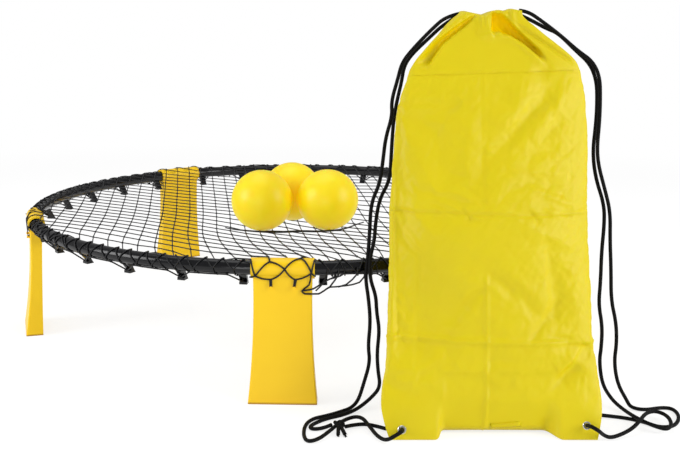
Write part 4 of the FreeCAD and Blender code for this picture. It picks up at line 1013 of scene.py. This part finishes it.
def pleatRecess(x, z):
    # The hollow right of the middle pleat: it drops behind a curved ridge and an upright edge, and
    # runs out upwards. Its share is 1 in its depth, and the ridge's share is 1 along the ridge.
    up = z - valueAt(bagHollows["ridge"], x)
    tall = valueAt(bagHollows["rightTall"], x)
    edge = pleatEdge(z)
    inside = smooth(edge - 0.8, edge + 0.8, x) * (1 - smooth(68, 86, x))
    recess = inside * smooth(0, 2.0, up) * (1 - smooth(0.45 * tall, tall, up))
    width = np.where(up < 0, 8, 1.5)
    ridge = smooth(-14, 10, x) * (1 - smooth(66, 90, x)) * np.exp(-(up / width) ** 2)
    return recess, ridge


def bagFront(x, z):
    # Depth of the front behind its leaning plane, in mm: the crown, the folds, the middle pleat, the
    # two hollows, and gathers under the mouth: depth * exp(-(off / spread) squared) * cos(run)
    crown = bagValues["crown"] * smooth(60, 200, z) * (1 - smooth(380, 500, z))
    depth = valueAt(bagValues["setback"], z) + crown * (((x - 18) / 120) ** 2 - 0.7)
    for fold in bagFolds:
        depth = depth + foldDepth(x, z, *fold)
    edge = pleatEdge(z)
    pleat = smooth(edge - 24, edge - 4, x) * (1 - smooth(edge - 0.7, edge + 0.7, x))
    recess, ridge = pleatRecess(x, z)
    depth = depth - 5.0 * smooth(486, 500, z) * pleat
    depth = depth + 14.0 * recess - 4.0 * ridge + 9.0 * leftHollow(x, z)
    for deep, middle, spread, start, pitch in bagValues["gathers"]:
        fade = smooth(498, 514, z) * np.exp(-((x - middle) / spread) ** 2)
        depth = depth + deep * fade * np.cos(2 * np.pi * (x - start) / pitch)
    return depth


def flapShare(x):  # 1 over the two lower corners' flaps, 0 between them
    return smooth(*bagValues["flapLeft"], -x) + smooth(*bagValues["flapRight"], x)


def bagSurface():
    # Two sheets on one grid of column share q and row share w. Between the sides each sheet lies at
    # depth + (seam - depth) * (1 - (1 - |q|^p)^(1/2)), so that both meet at the side seams, in a
    # rounded foot and in the mouth's rolled hem.
    value = bagValues
    low, high = value["bottomRows"], value["topRows"]
    step = np.linspace(-1, 1, value["columns"] + 1)
    q = 1.5 * step * (1 - step ** 2 / 3)
    foot = flapShare(q * value["halfWide"])
    foot = value["footRound"] * (1 - foot) + value["flapRound"] * foot
    top = valueAt(value["top"], np.interp(q, [-1, 1], value["mouth"]))
    share = np.linspace(0, 1, value["rows"] - low - high + 1)[1:-1]
    share = share + 0.03 * np.sin(2 * np.pi * share)
    turnLow = np.linspace(0, np.pi / 2, low + 1)
    turnTop = np.linspace(0, np.radians(value["mouthTurn"]), high + 1)
    startZ, endZ = value["floorGap"] + foot, top - value["hem"]
    z = np.concatenate([value["floorGap"] + foot[None] * (1 - np.cos(turnLow))[:, None],
                        startZ[None] + share[:, None] * (endZ - startZ)[None],
                        endZ[None] + value["hem"] * np.sin(turnTop)[:, None]])
    tuck = np.concatenate([1 - np.sin(turnLow), 0 * share,
                           (1 - np.cos(turnTop)) / (1 - np.cos(turnTop[-1]))])[:, None]
    heights, lefts, rights = np.array(value["outline"], float).T
    left, right = np.interp(z, heights, lefts), np.interp(z, heights, rights)
    x = left + (right - left) * (q + 1) / 2
    flap = flapShare(x) * (1 - smooth(*value["flapTall"], z + 0.25 * np.abs(x) - 20))
    front = bagFront(x, z) * (1 - flap) + flap * (0.2 + 1.1 * np.sin(x / 11.0) * smooth(4, 30, z))
    back = valueAt(value["setback"], z) + valueAt(value["thick"], z)
    back = back * (1 - flap) + flap * (front + value["flapThick"])
    gathers = smooth(430, 515, z)
    back = back - gathers * (1.6 + 1.8 * np.cos(2 * np.pi * 8.5 * (q + 0.05 * np.sin(9 * q))))
    back = back - smooth(380, 480, z) * (1 - gathers) * 1.5 * np.cos(2 * np.pi * 5.5 * q + 1)
    seam = front * value["seam"] + back * (1 - value["seam"])
    sheets = []
    for depth, (power, more) in ((front, value["frontSides"]), (back, value["backSides"])):
        turn = 1 - np.sqrt(1 - np.abs(q)[None] ** (power + more * flap))
        sheets.append(depth + (seam - depth) * np.maximum(turn, 0))
    middle = (sheets[0] + sheets[1]) / 2
    sheets = [depth + (middle - depth) * tuck for depth in sheets]
    front, back = [np.stack([value["middle"] + x / 1000, value["front"] + (value["lean"] * z + depth) / 1000,
                             z / 1000], -1) for depth in sheets]
    return front, back, x, z


def makeBag():
    front, back, x, z = bagSurface()
    plan = np.stack([x, z], -1) / 1000
    return doubleSheet("bag_skin", front, back, plan, plan + [0.5, 0])


def settleCloth(piece):
    # The middle of the skin is a little larger than its shape, so it buckles into soft wrinkles;
    # the foot, corners, hem and seams are held, and no point moves further than the cap
    before = readPoints(piece.data)
    x, z = np.abs(before[:, 0] - bagValues["middle"]) * 1000, before[:, 2] * 1000
    edge = valueAt(clothValues["sides"], z)
    hold = np.clip(smooth(edge - 26, edge - 4, x) + smooth(405, 450, z) + 1 - smooth(30, 80, z), 0, 1)
    group = piece.vertex_groups.new(name="held")
    for level in np.unique(np.round(hold, 1)):
        group.add(np.flatnonzero(np.round(hold, 1) == level).tolist(), float(level), "REPLACE")
    cloth = piece.modifiers.new("cloth", "CLOTH")
    for name, value in clothValues["settings"].items():
        setattr(cloth.settings, name, value)
    cloth.settings.vertex_group_mass = "held"
    cloth.settings.shrink_min = cloth.settings.shrink_max = -clothValues["extra"]
    cloth.settings.use_pressure = True
    cloth.settings.uniform_pressure_force = clothValues["pressure"]
    cloth.settings.effector_weights.gravity = 0
    cloth.collision_settings.use_collision = False
    cloth.point_cache.frame_start, cloth.point_cache.frame_end = 1, clothValues["rounds"]
    scene = bpy.context.scene
    for moment in range(1, clothValues["rounds"] + 1):
        scene.frame_set(moment)
    shaped = piece.evaluated_get(bpy.context.evaluated_depsgraph_get())
    move = readPoints(shaped.data) - before
    far = np.linalg.norm(move, axis=1, keepdims=True) + tiny
    cap = clothValues["cap"] * (1 - hold)[:, None]
    move *= np.tanh(far / (cap + 1e-6)) * cap / far
    piece.modifiers.clear()
    scene.frame_set(1)
    piece.data.vertices.foreach_set("co", (before + move).ravel())
    piece.data.update()
    moved = np.linalg.norm(move, axis=1) * 1000
    print("cloth moved up to %.1f mm, on average %.2f mm" % (moved.max(), moved.mean()))


# What is pressed into the skin after the cloth has settled, in mm: fine storage wrinkles as a sum of
# narrow waves, and more depth for the hollows beside the pleat and on the left
wrinkleValues = {"waves": 14, "pitch": (16, 44), "bend": (40, 90), "sway": 6, "depth": 0.3, "seed": 4,
                 "low": (20, 80), "high": (430, 470), "recess": 3.5, "ridge": 1.0, "hollow": 2.5}


def fineWrinkles(x, z):
    value = wrinkleValues
    rng = np.random.default_rng(value["seed"])
    fine = np.zeros(len(x))
    for wave in range(value["waves"]):
        heading, length = rng.uniform(0, np.pi), rng.uniform(*value["pitch"])
        phase, bend = rng.uniform(0, 6.3), rng.uniform(*value["bend"])
        run = x * np.cos(heading) + z * np.sin(heading) + value["sway"] * np.sin((x + z) / bend + phase)
        fine += np.maximum(0, np.sin(2 * np.pi * run / length + phase)) ** 6 * rng.uniform(0.5, 1)
    return fine * value["depth"] * smooth(*value["low"], z) * (1 - smooth(*value["high"], z))


def creaseBag(piece):
    # The skin is divided once more, and its points go inwards along their normals
    value = wrinkleValues
    work = piece.modifiers.new("finer", "SUBSURF")
    work.levels = work.render_levels = 1
    bpy.context.view_layer.objects.active = piece
    with bpy.context.temp_override(object=piece, active_object=piece, selected_objects=[piece]):
        bpy.ops.object.modifier_apply(modifier="finer")
    points, normals = readPoints(piece.data), readPoints(piece.data, "normal")
    x, z = (points[:, 0] - bagValues["middle"]) * 1000, points[:, 2] * 1000
    forward = smooth(0.2, 0.6, -normals[:, 1])
    depth = sum(foldDepth(x, z, start, end, deep, wide, wide, 8) for start, end, deep, wide in bagCreases)
    recess, ridge = pleatRecess(x, z)
    hollow = leftHollow(x, z)
    depth += value["recess"] * recess - value["ridge"] * ridge + value["hollow"] * hollow
    points -= normals * ((depth * forward + fineWrinkles(x, z)) / 1000)[:, None]
    points[:, 2] = np.maximum(points[:, 2], 0.0004)
    piece.data.vertices.foreach_set("co", points.ravel())
    # How deep a point lies in a hollow, from 0 to 1: the mask of the painted warm tint and lowered gloss that
    # stand in for light through doubled cloth
    deep = recess * (1 - 0.45 * smooth(30, 80, x)) + 0.6 * hollow * smooth(455, 500, z)
    layer = piece.data.attributes.new("fold", "FLOAT", "POINT")
    layer.data.foreach_set("value", (deep * forward).astype(np.float32))
    piece.data.update()


# Nylon taffeta, plain weave with a thin coating: a smooth, slightly glossy cloth that lets a little
# light through. Its threads are 0.25 mm; here they are 0.8 mm, so that they show. In a deep hollow the
# colour is painted a warmer yellow and the gloss is turned down: painted light and shade, standing in
# for light that comes through doubled cloth and bounces about in the hollow.
nylonLook = {"base": "#dfcc03", "worn": "#d5c102", "hollow": "#ffdb00", "thread": 0.0008, "roughness": 0.44,
             "gloss": 0.26, "paintedHollowGloss": 0.04, "weave": 0.18, "wrinkles": 38.0, "wrinkleDepth": 0.002}


def wovenNylon():
    look = nylonLook
    material, tree, surface = startMaterial("nylonTaffeta", Roughness=look["roughness"], IOR=1.53,
                                            Specular_IOR_Level=look["gloss"], Subsurface_Weight=0.15)
    surface.inputs["Subsurface Radius"].default_value = (0.008, 0.004, 0.0005)
    place = addNode(tree, "ShaderNodeUVMap")
    split = addNode(tree, "ShaderNodeSeparateXYZ", [(place, 0)])
    threads = []
    for axis in (0, 1):
        scaled = addNode(tree, "ShaderNodeMath", [(split.outputs[axis], 0)], operation="MULTIPLY")
        scaled.inputs[1].default_value = 2 * math.pi / look["thread"]
        threads.append(addNode(tree, "ShaderNodeMath", [(scaled, 0)], operation="SINE"))
    weave = addNode(tree, "ShaderNodeMath", [(threads[0], 0), (threads[1], 1)], operation="MULTIPLY")
    tone = addNode(tree, "ShaderNodeMapRange", [(weave, 0)])
    tone.inputs[1].default_value = -1.0
    tone.inputs[4].default_value = look["weave"]
    space = addNode(tree, "ShaderNodeTexCoord").outputs["Object"]
    cloud = addNode(tree, "ShaderNodeTexNoise", [(space, "Vector")], Scale=9.0, Detail=4.0)
    blend = addNode(tree, "ShaderNodeMath", [(tone, 0), (cloud, 1)], operation="ADD")
    plain = addNode(tree, "ShaderNodeValToRGB", [(blend, "Fac")], (look["base"], look["worn"]))
    # Painted light: the fold mask mixes in the warmer hollow tint and turns the gloss down
    fold = addNode(tree, "ShaderNodeAttribute", attribute_name="fold")
    tint = addNode(tree, "ShaderNodeMix", [(fold.outputs["Fac"], 0)], data_type="RGBA")
    tint.inputs[7].default_value = linear(look["hollow"])
    tree.links.new(plain.outputs[0], tint.inputs[6])
    tree.links.new(tint.outputs[2], surface.inputs["Base Color"])
    sheen = addNode(tree, "ShaderNodeMapRange", [(fold.outputs["Fac"], 0)])
    sheen.inputs[3].default_value, sheen.inputs[4].default_value = look["gloss"], look["paintedHollowGloss"]
    tree.links.new(sheen.outputs[0], surface.inputs["Specular IOR Level"])
    fine = addNode(tree, "ShaderNodeBump", [(weave, "Height")], Strength=0.18, Distance=0.0002)
    wrinkle = addNode(tree, "ShaderNodeTexNoise", [(space, "Vector")], Scale=look["wrinkles"], Detail=4.0,
                      Roughness=0.55)
    soft = addNode(tree, "ShaderNodeBump", [(wrinkle, "Height"), (fine, "Normal")], Strength=0.22,
                   Distance=look["wrinkleDepth"])
    tree.links.new(soft.outputs[0], surface.inputs["Normal"])
    return material


# Sewing: a small plain patch near the foot as its two lower corners and its height, in mm, and rows of
# stitches along the hems as (start, end, how far in metres they lie in front of the skin)
sewing = {"patch": ((0, 7.5), (38, 11), 7.5), "patchCells": (20, 5), "patchEdge": 0.0003, "patchRise": 0.0008,
          "thread": 0.00028, "stitch": 2.4, "pitch": 3.4, "lift": (0.0001, 0.0004),
          "rows": [((-94, 441), (124, 448), 0.0), ((1.2, 8.8), (36.6, 12.0), 0.0009),
                   ((0.2, 13.6), (35.6, 16.9), 0.0009), ((55, 500), (115, 458), 0.0)]}


def skinDepth(piece, x, z):
    # The skin's front at each place: the mean of its nearest points' depths, weighted by nearness
    points = readPoints(piece.data)
    across, high = (points[:, 0] - bagValues["middle"]) * 1000, points[:, 2] * 1000
    plane = bagValues["front"] + bagValues["lean"] * high / 1000
    near = (across > x.min() - 6) & (across < x.max() + 6) & (high > z.min() - 6) & (high < z.max() + 6)
    near &= points[:, 1] - plane < 0.024
    across, high, depth = across[near], high[near], points[near, 1]
    far = (x.ravel()[:, None] - across) ** 2 + (z.ravel()[:, None] - high) ** 2
    close = np.argsort(far, 1)[:, :5]
    weight = 1 / (np.take_along_axis(far, close, 1) + 0.2)
    return ((depth[close] * weight).sum(1) / weight.sum(1)).reshape(x.shape)


def makePatch(skin):
    # A grid between two ends, highest in its middle and low at its edges, on a hidden back sheet
    (x0, z0), (x1, z1), tall = sewing["patch"]
    u, v = np.meshgrid(*[np.linspace(0, 1, cells + 1) for cells in sewing["patchCells"]])
    x, z = x0 + (x1 - x0) * u - 1.0 * v, z0 + (z1 - z0) * u + tall * v
    y = skinDepth(skin, x, z)
    edge = np.minimum(np.minimum(u, 1 - u) * 40, np.minimum(v, 1 - v) * 9)
    raised = sewing["patchEdge"] + sewing["patchRise"] * smooth(0, 1.6, edge)
    front, back = [np.stack([bagValues["middle"] + x / 1000, depth, z / 1000], -1)
                   for depth in (y - raised, y + 0.0002)]
    back[edge < 1e-6] = front[edge < 1e-6]
    plan = np.stack([x, z], -1) / 1000
    return doubleSheet("bag_patch", front, back, plan, plan)


def makeStitches(skin):
    # Short threads that dip into the cloth at both ends: lift * sin(pi * share)
    share = np.linspace(0, 1, 5)
    base, rise = sewing["lift"]
    threads = []
    for start, end, before in sewing["rows"]:
        start, end = np.array(start, float), np.array(end, float)
        length = np.linalg.norm(end - start)
        begin = np.arange(0, length - sewing["stitch"], sewing["pitch"])
        run = begin[:, None] + sewing["stitch"] * share
        x, z = np.moveaxis(start + (end - start) * (run / length)[..., None], -1, 0)
        y = skinDepth(skin, x, z) - rise * np.sin(np.pi * share) - base - before
        threads.append(np.stack([bagValues["middle"] + x / 1000, y, z / 1000], -1))
    threads = np.concatenate(threads)
    return tubePiece("bag_stitches", threads, np.full(threads.shape[:2], sewing["thread"]), 5)


bagSkin = makeBag()
settleCloth(bagSkin)
creaseBag(bagSkin)
bagSkin.data.materials.append(wovenNylon())
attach(bagSkin, "bag")
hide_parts("bag")
for sewn in (makePatch(bagSkin), makeStitches(bagSkin)):
    sewn.data.materials.append(bagSkin.data.materials[0])
    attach(sewn, "bag")
print("bag sewn")


# Knots: the cord's two ends in one overhand knot, with short tails that fray at the cut. A knot has its
# place from the hoop's axis, its tails' heading in degrees and the seed of its frayed threads.
knotValues = {"places": {"left": ((0.0554, -0.5585, 0.0070), -83.0, 3),
                         "right": ((0.3850, -0.5310, 0.0070), 150.0, 5)},
              "core": 0.0038, "cord": 0.0025, "coreSteps": 90, "steps": 14, "sides": 12,
              "tail": 0.020, "tailStart": 0.002, "tailDrop": 0.0052, "tailSpread": 0.19,
              "threads": 14, "thread": 0.0004, "threadLength": (0.004, 0.007)}


def knotCore(middle):
    # A trefoil: ((2 + cos 3t) cos 2t, (2 + cos 3t) sin 2t, 1.15 sin 3t) * size
    t = np.linspace(0, 2 * np.pi, knotValues["coreSteps"])
    line = np.stack([(2 + np.cos(3 * t)) * np.cos(2 * t), (2 + np.cos(3 * t)) * np.sin(2 * t),
                     1.15 * np.sin(3 * t)], 1)
    return line[None] * knotValues["core"] / 2 + middle


def knotTails(middle, heading, seed):
    # Two tails leave the knot at a small angle and sink to the floor, and threads fan out from each
    value = knotValues
    rng = np.random.default_rng(seed)
    share = np.linspace(0, 1, value["steps"])[:, None]
    tails, threads = [], []
    for spread in (-value["tailSpread"], value["tailSpread"]):
        way = np.array([np.cos(heading + spread), np.sin(heading + spread), 0])
        tail = middle + way * (value["tailStart"] + value["tail"] * share) + [0, 0, 0.001]
        tail = tail + np.array([0, 0, -1]) * value["tailDrop"] * share ** 1.4
        tails.append(tail)
        for thread in range(value["threads"]):
            spin, fan = rng.uniform(0, 2 * np.pi), rng.uniform(0.2, 1)
            side = np.array([-way[1], way[0], 0]) * np.cos(spin) + np.array([0, 0, 1]) * np.sin(spin)
            reach = rng.uniform(*value["threadLength"])
            fibre = tail[-1] + way * reach * share + side * fan * (0.0012 + 0.0018 * share)
            fibre[:, 2] = np.maximum(fibre[:, 2], 0.0004)
            threads.append(fibre)
    return np.array(tails), np.array(threads)


def makeKnots(braid):
    value = knotValues
    for mark, (place, turn, seed) in value["places"].items():
        middle = np.array(place) + floorPoint
        tails, threads = knotTails(middle, np.radians(turn), seed)
        parts = ((knotCore(middle), value["cord"], value["sides"]), (tails, value["cord"], value["sides"]),
                 (threads, value["thread"], 5))
        start, points, faces, uvs = 0, [], [], []
        for paths, radius, sides in parts:
            corners, quads, plan = tubeArrays(paths, np.full(paths.shape[:2], radius), sides)
            points.append(corners)
            faces.append(quads + start)
            uvs.append(plan)
            start += len(corners)
        points = np.concatenate(points)
        points[:, 2] = np.maximum(points[:, 2], 0.0002)
        piece = buildMesh("drawcord_knot_" + mark, points, np.concatenate(faces), np.concatenate(uvs))
        piece.data.materials.append(braid)
        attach(piece, "bag")
        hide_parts("knot_" + mark)


makeKnots(braid)
print("knots tied")


# Studio: a pale floor that turns white for the camera but keeps the set's shadow, and soft lamps
studio = {"floor": [(-6, -4, 0), (6, -4, 0), (6, 8, 0), (-6, 8, 0)], "floorPaint": 0.88, "floorShine": 0.76,
          "floorTone": 0.34, "floorClear": (1.6, 2.6), "worldLight": 0.43,
          # name: place, what it looks at, width in metres, watts
          "lamps": {"box_left": ((-2.1, -0.8, 0.95), (0.0, -0.2, 0.15), 1.1, 24.0),
                    "box_right": ((2.3, -1.5, 1.2), (0.2, -0.3, 0.2), 1.6, 44.0),
                    "box_top": ((-0.3, 0.3, 2.6), (0.0, -0.1, 0.1), 1.8, 14.0),
                    "box_front": ((-1.0, -4.2, 0.3), (-0.1, 0.1, 0.2), 1.6, 30.0)}}


def paleFloor():
    material = bpy.data.materials.new("paintedStudioFloor")
    material.use_nodes = True
    tree = material.node_tree
    tree.nodes.clear()
    output = addNode(tree, "ShaderNodeOutputMaterial")
    path = addNode(tree, "ShaderNodeLightPath")
    straight, mirrored = path.outputs["Is Camera Ray"], path.outputs["Is Glossy Ray"]
    through = path.outputs["Is Transmission Ray"]
    seen = addNode(tree, "ShaderNodeMath", [(straight, 0), (mirrored, 1)], operation="MAXIMUM")
    clear = addNode(tree, "ShaderNodeMath", [(seen, 0), (through, 1)], operation="MAXIMUM")
    plain = addNode(tree, "ShaderNodeBsdfDiffuse", Color=(*[studio["floorPaint"]] * 3, 1))
    faint = addNode(tree, "ShaderNodeBsdfDiffuse", Color=(*[studio["floorTone"]] * 3, 1))
    glow = addNode(tree, "ShaderNodeEmission", Strength=studio["floorShine"])
    bright = addNode(tree, "ShaderNodeAddShader", [(faint, 0), (glow, 1)])
    # Far from the set the floor is plain white, so that it meets the backdrop without a line
    place = addNode(tree, "ShaderNodeTexCoord")
    far = addNode(tree, "ShaderNodeVectorMath", [(place.outputs["Object"], 0)], operation="LENGTH")
    share = addNode(tree, "ShaderNodeMapRange", [(far.outputs["Value"], 0)], interpolation_type="SMOOTHSTEP")
    share.inputs[1].default_value, share.inputs[2].default_value = studio["floorClear"]
    white = addNode(tree, "ShaderNodeEmission", Strength=1.0)
    wide = addNode(tree, "ShaderNodeMixShader", [(share, 0), (bright, 1), (white, 2)])
    mix = addNode(tree, "ShaderNodeMixShader", [(clear, 0), (plain, 1), (wide, 2)])
    tree.links.new(mix.outputs[0], output.inputs["Surface"])
    return material


def whiteWorld():
    # White to the camera, and dimmer as a light on the set
    world = bpy.data.worlds.new("studio")
    bpy.context.scene.world = world
    world.use_nodes = True
    tree = world.node_tree
    tree.nodes.clear()
    output = addNode(tree, "ShaderNodeOutputWorld")
    path = addNode(tree, "ShaderNodeLightPath")
    strength = addNode(tree, "ShaderNodeMapRange", [(path.outputs["Is Camera Ray"], 0)])
    strength.inputs[3].default_value = studio["worldLight"]
    strength.inputs[4].default_value = 1.0
    light = addNode(tree, "ShaderNodeBackground", [(strength, "Strength")], Color=(1, 1, 1, 1))
    tree.links.new(light.outputs[0], output.inputs["Surface"])


def makeStudio():
    floor = buildMesh("studio_floor", np.array(studio["floor"], float), np.array([[0, 1, 2, 3]]))
    floor.data.materials.append(paleFloor())
    whiteWorld()
    for name, (place, aim, wide, power) in studio["lamps"].items():
        lamp = bpy.data.lights.new(name, "AREA")
        lamp.shape = "SQUARE"
        lamp.size = wide
        lamp.energy = power
        holder = bpy.data.objects.new(name, lamp)
        bpy.context.scene.collection.objects.link(holder)
        holder.location = place
        away = np.array(aim) - np.array(place)
        across, ahead = math.atan2(away[1], away[0]), math.hypot(away[0], away[1])
        holder.rotation_euler = (math.pi / 2 + math.atan2(away[2], ahead), 0, across - math.pi / 2)


makeStudio()
bpy.context.scene.view_settings.view_transform = "Standard"
print("studio lit")
